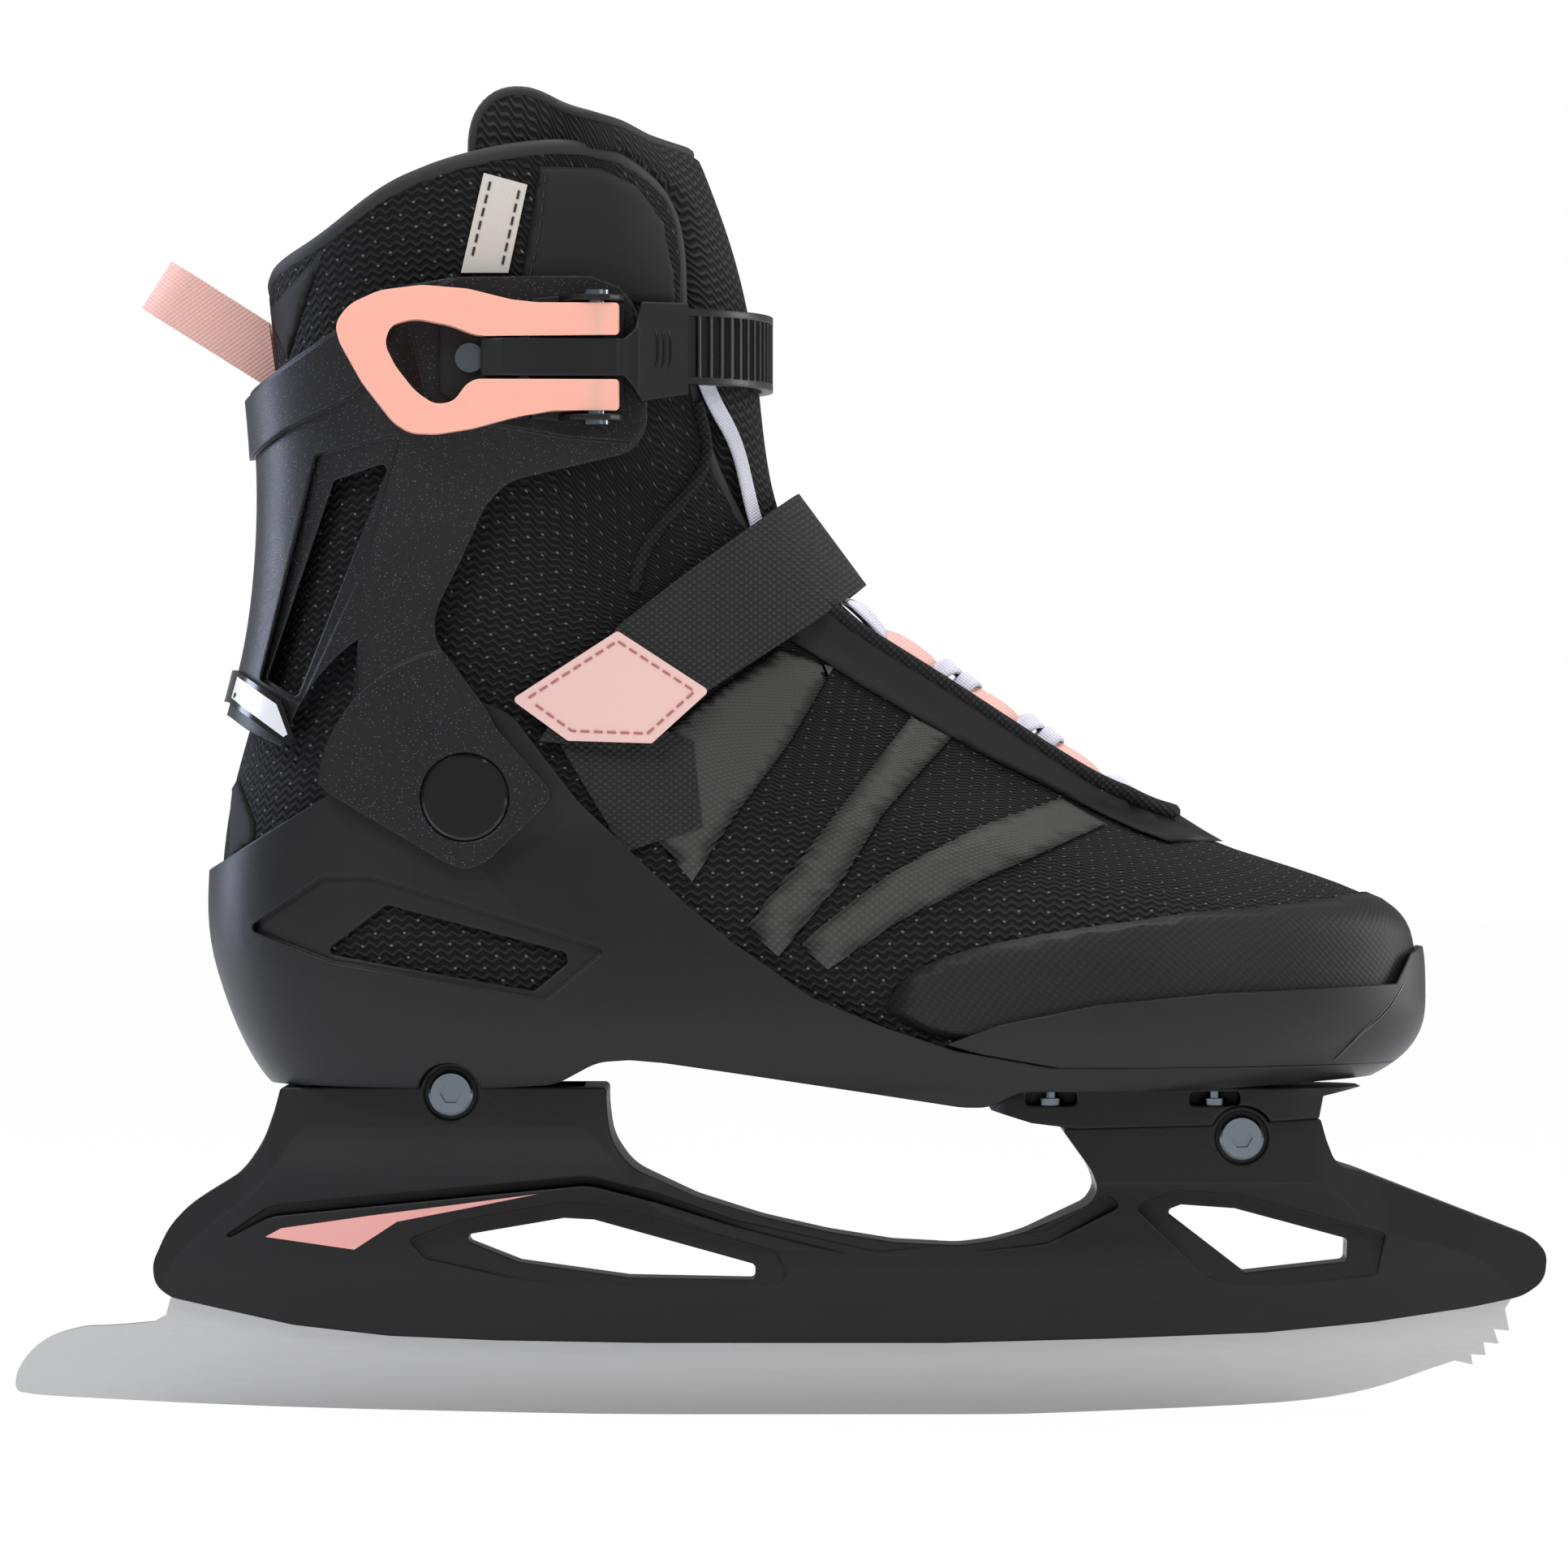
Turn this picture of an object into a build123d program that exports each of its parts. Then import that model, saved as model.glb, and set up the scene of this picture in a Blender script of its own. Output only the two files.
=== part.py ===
from build123d import *
import math
import os

# Recreational ice skate for a right foot: steel blade in a moulded holder, plastic shell with a
# hinged ankle cuff, soft boot inside, lever buckle, instep strap and laces. Millimetres.
# +X points to the toe, +Z up, the outer side of the foot faces -Y.
os.makedirs("parts", exist_ok=True)

# ---------------------------------------------------------------- driving dimensions
BLADE_T = 3.6
SLOT_TOP = 31.0
PIVOT = (-77.1, 146.9)
SHELL_IN, SHELL_OUT = 0.3, 3.3
CUFF_IN, CUFF_OUT, BAND_OUT = 3.6, 6.4, 7.9
PLATE_IN, PLATE_OUT = 39.8, 43.8
PIVOT_ZONE_R = 37.5
REAR_BOLT = (-81.2, 77.1)
FRONT_BOLT = (105.3, 66.5)
BOLT_R, BOLT_HEAD_R, BOLT_RECESS_R = 3.0, 5.2, 8.3
TOWER_Y = 21.0
ROOT_R, COLLAR_R = 45.5, 47.0
VAMP_SEAM = -48
STRAP_W, STRAP_T = 25.0, 1.8
BUCKLE_YAW = 4.0
BUCKLE_AT = (-46.7, -48.3)
PIN_OUT = 7.2
ARM_PIN_S, ARM_PIN_T = -16.6, 6.3

# Boot sections: height, heel x, heel side x and half width, waist x and half width, ball x,
# half widths to the outer and inner side, toe corner set-back and half width, toe x, toe y
SECTIONS = [
    (68, -112, -92, 25, -15, 25, 78, 38, 36, 18, 24, 118, 6),
    (79, -121, -92, 29, -15, 29, 78, 43, 41, 18, 27, 131, 6),
    (84, -125, -92, 32, -15, 32, 78, 47, 45, 18, 31, 140, 6),
    (92, -129.3, -92, 34, -15, 34, 80, 49.5, 47.5, 19, 33, 146.2, 6),
    (102, -133.2, -92, 35.2, -15, 35, 82, 50, 48, 19, 33.5, 147.2, 6),
    (112, -135.8, -92, 35.8, -15, 35, 82, 49, 47, 19, 32.5, 146.4, 6),
    (119, -136.5, -92, 36, -15, 34.2, 80, 46.5, 44.5, 18, 30, 143, 5.5),
    (125, -136.5, -92, 36, -15, 33.2, 76, 43, 41, 17, 25.5, 133, 5),
    (131, -136.2, -92, 36, -15, 32, 66, 39.5, 37.5, 15, 22, 116, 4),
    (137, -135.6, -92, 36, -16, 31, 55, 36.5, 34.5, 12, 19, 97.5, 3),
    (145, -134.4, -92, 36, -20, 31, 42, 31.5, 30, 9, 16, 80, 2),
    (157, -131.5, -92, 36, -30, 31.5, 22, 27, 26, 7, 14.5, 60.5, 1),
    (172, -127.2, -91, 36, -40, 32.5, 3, 26, 25, 7, 14, 38, 0.5),
    (188, -123.6, -90, 36.2, -48, 33.5, -16, 26.5, 26, 7, 14.5, 15.5, 0),
    (205, -121.8, -88, 36.8, -55, 35.5, -28, 28.5, 28.5, 7, 16, 0, 0),
    (225, -121.4, -87, 38.6, -58, 38, -34, 31, 31, 8, 18, -7, 0),
    (250, -123.6, -87, 41, -60, 41, -36, 34, 34, 9, 20, -10, 0),
    (280, -126.5, -87, 43.5, -60, 44, -40, 37.5, 37.5, 9, 22, -16.6, 0),
    (312, -128, -87, 45, -62, 46, -44, 40, 40, 9, 24, -28.5, 0),
    (340, -129, -87, 46, -62, 47, -47, 42, 42, 9, 26, -36, 0),
]


def ring(row, grow):
    """Points of one horizontal boot section, moved outwards by grow."""
    z, xb, xh, wh, xw, ww, xl, wo, wi, tc, wc, xf, yf = row
    xc = xh + 0.71 * (xb - xh)
    pts = [(xb, 0.0), (xc, -0.72 * wh), (xh, -wh), (xw, -ww), (xl, -wo), (xf - tc, yf - wc)]
    pts += [(xf, yf), (xf - tc, yf + wc), (xl, wi), (xw, ww), (xh, wh), (xc, 0.72 * wh)]
    out = []
    n = len(pts)
    for i, (x, y) in enumerate(pts):
        ax, ay = pts[i - 1]
        bx, by = pts[(i + 1) % n]
        h0 = math.hypot(x - ax, y - ay)
        h1 = math.hypot(bx - x, by - y)
        tx = (x - ax) / h0 * h1 + (bx - x) / h1 * h0
        ty = (y - ay) / h0 * h1 + (by - y) / h1 * h0
        length = math.hypot(tx, ty)
        out.append((x + ty / length * grow, y - tx / length * grow))
    return out


def boot_body(grow, drop=0.0):
    """Solid of the whole boot form, grown sideways and lowered."""
    with BuildPart() as form:
        for row in SECTIONS:
            with BuildSketch(Plane.XY.offset(row[0] - drop)):
                with BuildLine():
                    Spline(*ring(row, grow), periodic=True)
                make_face()
        loft()
    return form.part


def corner_radii(points, limit):
    """Radius for each corner of a closed outline: wide on gentle bends, small on sharp ones."""
    out = []
    for i in range(len(points)):
        a, b, c = (Vector(*points[k % len(points)], 0) for k in (i - 1, i, i + 1))
        turn = (b - a).get_angle(c - b)
        room = 0.42 * min((b - a).length, (c - b).length)
        if turn < 1.0:
            out.append(0)
        elif turn > 60:
            out.append(min(limit, 1.2, room / math.tan(math.radians(turn / 2))))
        else:
            out.append(min(limit, room / math.tan(math.radians(turn / 2))))
    return out


def side_prism(points, y0=-90.0, y1=90.0, radius=0.0):
    """Side outline (x, z) pushed through from y0 to y1."""
    with BuildPart() as prism:
        with BuildSketch(Plane.XZ.offset(-y1)):
            with BuildLine():
                if radius > 0:
                    FilletPolyline(*points, radius=corner_radii(points, radius), close=True)
                else:
                    Polyline(*points, close=True)
            make_face()
        extrude(amount=y1 - y0)
    return prism.part


def y_rod(at, radius, y0, y1):
    """Round bar along Y through the side-view point at."""
    with BuildPart() as rod:
        with BuildSketch(Plane.XZ.offset(-y1)):
            with Locations(at):
                Circle(radius)
        extrude(amount=y1 - y0)
    return rod.part


def radial(angle, radius):
    """Side-view point at an angle and radius about the ankle pivot."""
    a = math.radians(angle)
    return (PIVOT[0] + radius * math.cos(a), PIVOT[1] + radius * math.sin(a))


def save(piece, name):
    piece.label = name
    export_step(piece, "parts/" + name + ".step")


form_0 = boot_body(0.0)
form_in = boot_body(-4.6, 1.6)
form_shell_in = boot_body(SHELL_IN)
form_shell_out = boot_body(SHELL_OUT)
form_cuff_in = boot_body(CUFF_IN)
form_cuff_out = boot_body(CUFF_OUT)
form_band_out = boot_body(BAND_OUT)

# ---------------------------------------------------------------- blade
BLADE_TAIL = [(-185.6, 7.2), (-184.2, 12), (-177.8, 18.2), (-170.1, 20.7), (-152.7, 22)]
BLADE = [
    (-152.7, 22), (-149.8, 23.6),
    (-148.6, 28.0), (-140, SLOT_TOP), (150, SLOT_TOP), (170.9, 28.4), (168.9, 25.1),
    (169.9, 19.9), (166.2, 20.3), (167.4, 16.8), (163.7, 17.2), (164.3, 14.1), (160.8, 14.3),
    (161.2, 11.8), (156.9, 12.8),
]
with BuildPart() as blade:
    with BuildSketch(Plane.XZ.offset(-BLADE_T / 2)):
        with BuildLine():
            Spline(*BLADE_TAIL, tangents=[(0, 1), (1, 0.1)])
            Polyline(*BLADE)
            Spline(
                (156.9, 12.8), (139.2, 6.8), (108.2, 2.4), (69.6, 0.7), (40, 0),
                tangents=[(-1, -0.3), (-1, 0)],
            )
            Line((40, 0), (-30, 0))
            Spline(
                (-30, 0), (-77.3, 0.7), (-123.7, 1.9), (-174.5, 4.3), (-183.6, 5.2),
                tangents=[(-1, 0), (-1, 0.2)],
            )
            ThreePointArc((-183.6, 5.2), (-185.0, 5.8), (-185.6, 7.2))
        make_face()
    extrude(amount=BLADE_T)
save(blade.part, "blade")

# ---------------------------------------------------------------- blade holder
HOLDER = [
    (-121.4, 78.5), (-122.6, 73.8), (-125.3, 66.1), (-130.7, 58.4), (-143.4, 50.6),
    (-148.8, 44.8), (-152.7, 36.1), (-152.1, 31.3), (-148.6, 28.2), (-137.8, 25.7),
    (-119.1, 21.5), (-96.5, 18.9), (-70.6, 17.8), (-34.2, 17.2), (35.4, 17.2), (73.6, 18.2),
    (111.7, 19.7), (137.2, 22.2), (160.1, 25.7), (172.8, 28.4), (178, 32.1), (178.6, 38.5),
    (175.3, 42.3), (154.6, 50.3), (133.8, 58.4), (127.6, 60.3), (125.3, 66.1), (123.9, 71.2),
    (97.6, 69.5), (66.5, 68.7), (62.8, 68.7), (70.2, 58.4), (71.5, 54), (69.4, 50.6),
    (61.9, 47.2), (54.1, 43.7), (46.4, 41.6), (38.7, 40.6), (23.2, 41.4), (7.7, 43.9),
    (-7.7, 47.4), (-23.2, 52.2), (-38.7, 59.3), (-43.5, 66.1), (-44.5, 73.8), (-44.5, 78.5),
]
REAR_WINDOW = [
    (-80.8, 42.6), (-54.9, 47), (-47.7, 46.6), (-9.5, 36), (-9.5, 32.3), (-39.4, 32.9),
    (-65.3, 36.5),
]
REAR_RECESS = [
    (-92, 42), (-80, 46.5), (-55, 51), (-46, 50.5), (-5, 39.5), (-2, 34), (-5, 29), (-40, 29.2),
    (-68, 33), (-88, 37.5),
]
FRONT_WINDOW = [(87.6, 48.7), (91.5, 50.2), (104.2, 49.3), (131, 42.1), (130.8, 36.7), (106.7, 34)]
FRONT_RECESS = [
    (80, 50), (90, 54), (105, 53), (140, 43.5), (138, 33.5), (106, 30), (98, 33),
]
UPPER_RECESS = [
    (-141, 39), (-124.3, 47.6), (-48.7, 55.2), (-33, 51), (-14, 45), (20, 36.5), (60, 41),
    (77, 50), (74, 53), (60, 44.2), (20, 39), (-14, 46.6), (-33, 53.4), (-49, 57.6), (-124.3, 50.4),
]
# the same seen from above and from the end
HOLDER_PLAN = [
    (-155, -5.6), (-146, -8.5), (-131, -15), (-121, -21), (-44, -21), (-34, -14),
    (-8, -9), (56, -9), (68, -18), (126, -18), (136, -11), (160, -8.5), (180, -5.2),
    (180, 5.2), (160, 8.5), (136, 11), (126, 18), (68, 18), (56, 9), (-8, 9),
    (-34, 14), (-44, 21), (-121, 21), (-131, 15), (-146, 8.5), (-155, 5.6),
]
HOLDER_END = [
    (-5.2, 16), (-6, 25), (-8, 38), (-13, 48), (-19, 57), (-21, 66), (-21, 90),
    (21, 90), (21, 66), (19, 57), (13, 48), (8, 38), (6, 25), (5.2, 16),
]
with BuildPart() as blade_holder:
    add(side_prism(HOLDER, -30, 30, 25))
    with BuildSketch(Plane.XY.offset(10)):
        with BuildLine():
            FilletPolyline(*HOLDER_PLAN, radius=corner_radii(HOLDER_PLAN, 20), close=True)
        make_face()
    extrude(amount=80, mode=Mode.INTERSECT)
    with BuildSketch(Plane.YZ.offset(-160)):
        with BuildLine():
            FilletPolyline(*HOLDER_END, radius=corner_radii(HOLDER_END, 30), close=True)
        make_face()
    extrude(amount=345, mode=Mode.INTERSECT)
    for y0 in (-40, 6.9):
        add(side_prism(REAR_RECESS, y0, y0 + 33.1, 1.5), mode=Mode.SUBTRACT)
        add(side_prism(FRONT_RECESS, y0, y0 + 33.1, 1.5), mode=Mode.SUBTRACT)
    for y0, y1 in ((-40, -8.4), (8.4, 40)):
        add(side_prism(UPPER_RECESS, y0, y1, 12), mode=Mode.SUBTRACT)
    add(side_prism(REAR_WINDOW, -30, 30, 1.2), mode=Mode.SUBTRACT)
    add(side_prism(FRONT_WINDOW, -30, 30, 1.2), mode=Mode.SUBTRACT)
    # hollow towers, open at the top
    for x0, x1, z0, half in ((-116, -71, 60, 16.5), (-66, -50, 62, 16.5), (90, 120.5, 58, 13.5), (74, 86, 60, 13)):
        with BuildSketch(Plane.XY.offset(z0)):
            with Locations(((x0 + x1) / 2, 0)):
                RectangleRounded(x1 - x0, 2 * half, 3)
        extrude(amount=40, mode=Mode.SUBTRACT)
    # round bosses of the cross bolts
    for y0, y1 in ((-TOWER_Y, -16.7), (16.7, TOWER_Y)):
        add(y_rod(REAR_BOLT, 7.4, y0, y1))
    for y0, y1 in ((-18, -13.6), (13.6, 18)):
        add(y_rod(FRONT_BOLT, 7.4, y0, y1))
    for at, half in ((REAR_BOLT, TOWER_Y), (FRONT_BOLT, 18)):
        add(y_rod(at, BOLT_R + 0.03, -40, 40), mode=Mode.SUBTRACT)
        add(y_rod(at, 6.4, -40, -half + 1.6), mode=Mode.SUBTRACT)
        add(y_rod(at, 6.4, half - 1.6, 40), mode=Mode.SUBTRACT)
    slot = [(-149, 10), (-149, 28), (-140.2, SLOT_TOP), (150.2, SLOT_TOP), (171, 28.5), (171, 10)]
    add(side_prism(slot, -BLADE_T / 2, BLADE_T / 2), mode=Mode.SUBTRACT)
save(blade_holder.part, "blade_holder")

# ---------------------------------------------------------------- cross bolts and nuts
for tag, at, half in (("rear", REAR_BOLT, TOWER_Y), ("front", FRONT_BOLT, 18.0)):
    seat = half - 1.6
    with BuildPart() as bolt:
        add(y_rod(at, BOLT_R, -seat, seat + 1.0))
        add(y_rod(at, BOLT_HEAD_R, -seat - 2.6, -seat))
        with BuildSketch(Plane.XZ.offset(seat + 2.6)):
            with Locations(at):
                RegularPolygon(2.6, 6)
        extrude(amount=-1.7, mode=Mode.SUBTRACT)
        chamfer(bolt.faces().sort_by(Axis.Y)[0].outer_wire().edges(), 0.5)
    save(bolt.part, tag + "_bolt")
    with BuildPart() as nut:
        add(y_rod(at, BOLT_HEAD_R, seat, seat + 2.6))
        add(y_rod(at, BOLT_R + 0.02, seat - 1, seat + 1.02), mode=Mode.SUBTRACT)
        with BuildSketch(Plane.XZ.offset(-seat - 2.6)):
            with Locations(at):
                RegularPolygon(2.6, 6)
        extrude(amount=1.3, mode=Mode.SUBTRACT)
    save(nut.part, tag + "_nut")

# ---------------------------------------------------------------- front mount block under the sole
MOUNT = [
    (46.4, 72.7), (55.7, 70), (66.5, 68.8), (97.6, 69.6), (123.5, 71.3), (124.5, 76.4),
    (134, 78.4), (52, 78.4),
]
with BuildPart() as front_mount:
    add(side_prism(MOUNT, -22, 22))
    with BuildSketch(Plane.XY.offset(60)):
        with Locations((90, 0)):
            SlotOverall(92, 44)
    extrude(amount=25, mode=Mode.INTERSECT)
    for x0 in (54.3, 92.8):
        for y0, y1 in ((-30, -14), (14, 30)):
            add(
                side_prism([(x0, 74.2), (x0 + 12, 74.2), (x0 + 12, 77.6), (x0, 77.6)], y0, y1, 1.2),
                mode=Mode.SUBTRACT,
            )
    for y0, y1 in ((-18.2, -13.4), (13.4, 18.2)):
        add(y_rod(FRONT_BOLT, 7.8, y0 - 6, y1 + 6), mode=Mode.SUBTRACT)
    add(side_prism([(93, 60), (117.5, 60), (117.5, 72), (93, 72)], -13, 13))
    add(y_rod(FRONT_BOLT, BOLT_R + 0.03, -40, 40), mode=Mode.SUBTRACT)
save(front_mount.part, "front_mount")

with BuildPart() as mount_screws:
    for x0 in (60.3, 98.8):
        for y in (-18.0, 18.0):
            with BuildSketch(Plane.XY.offset(74.25)):
                with Locations((x0, y)):
                    Circle(3.1)
            extrude(amount=1.6)
            with BuildSketch(Plane.XY.offset(75.8)):
                with Locations((x0, y)):
                    Circle(1.6)
            extrude(amount=1.75)
save(mount_screws.part, "mount_screws")

# ---------------------------------------------------------------- floor levels
FLOOR = [(-160, 90), (-60, 90), (-20, 88.5), (40, 83.6), (165, 83.6)]


def above_floor(lift, top=330.0):
    pts = [(x, z + lift) for x, z in FLOOR]
    return side_prism(pts + [(165, top), (-160, top)], -95, 95)


def floor_slice(low, high):
    pts = [(x, z + low) for x, z in FLOOR] + [(x, z + high) for x, z in reversed(FLOOR)]
    return side_prism(pts, -95, 95)


# ---------------------------------------------------------------- shell: heel counter and sole
SHELL = [
    (-122.7, 79.3), (-150, 79.3), (-150, 124), (-136.2, 131.2), (-108.8, 147.7), (-96, 158),
    (-84, 166.5), (-76, 169.8), (-72.3, 168.8), (-66.5, 166.4), (-51, 146.1), (-37.3, 133),
    (-25.7, 122), (-15.5, 113.5), (4.3, 99.9), (20.9, 93.2), (37.5, 87.8), (59.7, 84),
    (139.2, 84), (155, 84), (155, 80.6), (136.9, 80.6), (93.9, 78.4), (52, 78.4), (45, 74.6),
    (38.7, 74.6), (0, 80.2), (-30.9, 84.7), (-38.7, 85.4), (-46.4, 84.9), (-56.1, 79.6),
    (-73.5, 78.6), (-88, 78.6),
]
HEEL_WINDOW = [(-110.6, 110.4), (-95.5, 121.8), (-53.5, 110.6), (-53.2, 108.2), (-61, 101.6)]
HEEL_RECESS = [(-129, 116), (-110.6, 128.4), (-99, 128.4), (-44, 111.4), (-58, 99.6), (-108, 108.2)]
with BuildPart() as shell:
    add(form_shell_out)
    add(side_prism(SHELL, radius=12), mode=Mode.INTERSECT)
    with BuildPart(mode=Mode.PRIVATE) as foot_room:
        add(form_shell_in)
        add(above_floor(0), mode=Mode.INTERSECT)
    add(foot_room.part, mode=Mode.SUBTRACT)
    with BuildPart(mode=Mode.PRIVATE) as dish:
        add(side_prism(HEEL_RECESS, -95, 95, 2.0))
        add(boot_body(1.7), mode=Mode.SUBTRACT)
    add(dish.part, mode=Mode.SUBTRACT)
    add(side_prism(HEEL_WINDOW, -95, 95, 1.2), mode=Mode.SUBTRACT)
    for y0, y1 in ((-80, -PLATE_IN + 0.35), (PLATE_IN - 0.35, 80)):
        add(y_rod(PIVOT, PIVOT_ZONE_R + 8, y0, y1), mode=Mode.SUBTRACT)
    add(y_rod(PIVOT, 4.0, -80, 80), mode=Mode.SUBTRACT)
    for y0, y1 in ((-40, -16.5), (16.5, 40)):
        add(y_rod(REAR_BOLT, 7.7, y0, y1), mode=Mode.SUBTRACT)
    add(front_mount.part, mode=Mode.SUBTRACT)
    # lug that reaches down into the rear tower
    add(side_prism([(-95, 66), (-73, 66), (-73, 82), (-95, 82)], -16, 16))
    add(y_rod(REAR_BOLT, BOLT_R + 0.03, -40, 40), mode=Mode.SUBTRACT)
save(shell.part, "shell")

# ---------------------------------------------------------------- toe cap
TOE_CAP = [
    (35, 89.4), (47.4, 94.1), (70.2, 98.8), (97.6, 101.3), (141.9, 102.8), (145.9, 109.8),
    (149, 111.4), (160, 110), (160, 84.1), (61.1, 84.1), (43.5, 87.1),
]
with BuildPart() as toe_cap:
    add(form_shell_out)
    add(side_prism(TOE_CAP), mode=Mode.INTERSECT)
    add(form_shell_in, mode=Mode.SUBTRACT)
save(toe_cap.part, "toe_cap")

# ---------------------------------------------------------------- ankle cuff
CUFF = [
    (-150, 169.5), (-134.5, 166.4), (-128.4, 162.4), (-119.5, 158.3), (-108.8, 147.7),
    (-81.2, 131.4), (-77.1, 129.9), (-72.3, 131.4), (-57.6, 145.4), (-56.8, 148.5),
    (-69.8, 163.1), (-72.3, 168), (-84.1, 183.8), (-83.9, 190.2), (-77.5, 203), (-72.3, 214.6),
    (-66.9, 220.4), (-38.3, 227.3), (-34.8, 232.5), (-34.6, 244.3), (-37.3, 261.2),
    (-40.4, 265.4), (-47.9, 268.1), (-79.6, 267.7), (-93.4, 265.4), (-107.3, 255.9),
    (-131.6, 241), (-150, 240),
]
CUFF_BAND = [
    (-150, 222.5), (-130.9, 226), (-120, 233.1), (-102, 241), (-92, 260), (-94.2, 263.8),
    (-107.8, 254.7), (-131.4, 240), (-150, 239.2),
]
CUFF_WINDOW = [(-107.9, 220.9), (-94.5, 225.2), (-116.8, 170.1), (-124.3, 174.7)]
CUFF_RECESS = [(-112.5, 227), (-91.8, 231.6), (-101, 200), (-116, 168.5), (-126, 174.5)]
seat_dx = math.cos(math.radians(BUCKLE_YAW))
seat_dy = math.sin(math.radians(BUCKLE_YAW))
seat = Plane(origin=(*BUCKLE_AT, 0), x_dir=(seat_dx, seat_dy, 0), z_dir=(seat_dy, -seat_dx, 0))
SEAT_OUTLINE = [
    (-38, 236), (-6, 230.5), (8.5, 229.5), (11.5, 233), (11.5, 244.3), (9, 261.2), (6, 265.4),
    (-1, 268), (-32, 267.6), (-44, 262),
]
with BuildPart() as seat_block:
    with BuildSketch(seat.offset(-10)):
        with BuildLine():
            Polyline(*SEAT_OUTLINE, close=True)
        make_face()
    extrude(amount=10)
    add(form_cuff_in, mode=Mode.SUBTRACT)
with BuildPart() as top_band:
    add(form_band_out)
    add(side_prism(CUFF_BAND, radius=8), mode=Mode.INTERSECT)
    add(boot_body(5.0), mode=Mode.SUBTRACT)
with BuildPart() as cuff:
    add(form_cuff_out)
    add(side_prism(CUFF, radius=12), mode=Mode.INTERSECT)
    add(form_cuff_in, mode=Mode.SUBTRACT)
    add(seat_block.part)
    add(top_band.part)
    with BuildPart(mode=Mode.PRIVATE) as cuff_dish:
        add(side_prism(CUFF_RECESS, -95, 95, 1.5))
        add(boot_body(5.0), mode=Mode.SUBTRACT)
    add(cuff_dish.part, mode=Mode.SUBTRACT)
    add(side_prism(CUFF_WINDOW, -95, 95, 1.2), mode=Mode.SUBTRACT)
    with BuildSketch(seat.offset(-12)):
        with Locations((-29.1, 248.8)):
            Circle(1.5)
    extrude(amount=20, mode=Mode.SUBTRACT)
    add(y_rod((-60, 252), 2.0, 20, 60), mode=Mode.SUBTRACT)
    # flat hinge plates
    for side in (-1, 1):
        y0, y1 = sorted((side * PLATE_IN, side * PLATE_OUT))
        with BuildPart(mode=Mode.PRIVATE) as hinge_plate:
            add(side_prism(CUFF, y0, y1, 12))
            add(y_rod(PIVOT, PIVOT_ZONE_R - 3, -90, 90), mode=Mode.INTERSECT)
        add(
            y_rod(PIVOT, PIVOT_ZONE_R + 7, min(0, side * PLATE_IN), max(0, side * PLATE_IN)),
            mode=Mode.SUBTRACT,
        )
        add(hinge_plate.part)
        add(
            y_rod(PIVOT, 10.4, min(side * 42.4, side * 50), max(side * 42.4, side * 50)),
            mode=Mode.SUBTRACT,
        )
        add(y_rod(PIVOT, 7.0, min(side * 41.2, side * 50), max(side * 41.2, side * 50)), mode=Mode.SUBTRACT)
        add(y_rod(PIVOT, 4.05, min(side * 30, side * 50), max(side * 30, side * 50)), mode=Mode.SUBTRACT)
save(cuff.part, "cuff")

with BuildPart() as pivot_rivets:
    for side in (-1, 1):
        add(y_rod(PIVOT, 4.0, min(side * 37.2, side * 41.3), max(side * 37.2, side * 41.3)))
        add(y_rod(PIVOT, 6.65, min(side * 41.25, side * 42.1), max(side * 41.25, side * 42.1)))
save(pivot_rivets.part, "pivot_rivets")

with BuildPart() as pivot_caps:
    for side in (-1, 1):
        add(y_rod(PIVOT, 10.0, min(side * 42.4, side * 44.4), max(side * 42.4, side * 44.4)))
    chamfer(pivot_caps.faces().sort_by(Axis.Y)[0].edges(), 0.6)
    chamfer(pivot_caps.faces().sort_by(Axis.Y)[-1].edges(), 0.6)
save(pivot_caps.part, "pivot_caps")

BADGE = [
    (-150, 169.6), (-134.3, 169.5), (-119.5, 159.5), (-117.1, 160.4), (-120.4, 169.5),
    (-132.2, 176.9), (-150, 177.5),
]
with BuildPart() as rear_badge:
    add(form_band_out)
    add(side_prism(BADGE), mode=Mode.INTERSECT)
    add(form_cuff_out, mode=Mode.SUBTRACT)
save(rear_badge.part, "rear_badge")

# ---------------------------------------------------------------- soft boot, lower part
UPPER = [
    (-160, 90), (-60, 90), (-20, 88.5), (40, 83.6), (165, 83.6), (165, 160), (92.5, 139.4),
    (6.4, 188.7), (-8, 199), (-17, 207), radial(45, ROOT_R),
]
with BuildPart() as upper_form:
    add(form_0)
    with BuildSketch(Plane.XZ.offset(-95)):
        with BuildLine():
            Polyline(*UPPER)
            ThreePointArc(radial(45, ROOT_R), radial(108, ROOT_R), radial(172, ROOT_R))
            Polyline(radial(172, ROOT_R), radial(172, 80), (-160, 90))
        make_face()
    extrude(amount=190, mode=Mode.INTERSECT)
    add(form_in, mode=Mode.SUBTRACT)

# upper part of the soft boot, which moves with the cuff
COLLAR = [
    radial(168, COLLAR_R), radial(168, 85), (-160, 262), (-135, 262), (-124.7, 268.1),
    (-109.4, 278.2), (-93.4, 288.8), (-76.5, 294.8), (-61.7, 297.5), (-45.8, 297.3),
    (-35.2, 293), (-28.8, 285.5), (-26.7, 277.2), (-26.1, 262.3), (-23.2, 239.9),
    radial(62, 102), radial(62, COLLAR_R),
]
with BuildPart() as collar_form:
    add(form_0)
    with BuildSketch(Plane.XZ.offset(-95)):
        with BuildLine():
            Polyline(*COLLAR)
            ThreePointArc(radial(62, COLLAR_R), radial(110, COLLAR_R), radial(168, COLLAR_R))
        make_face()
    extrude(amount=190, mode=Mode.INTERSECT)
    add(form_in, mode=Mode.SUBTRACT)

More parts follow.
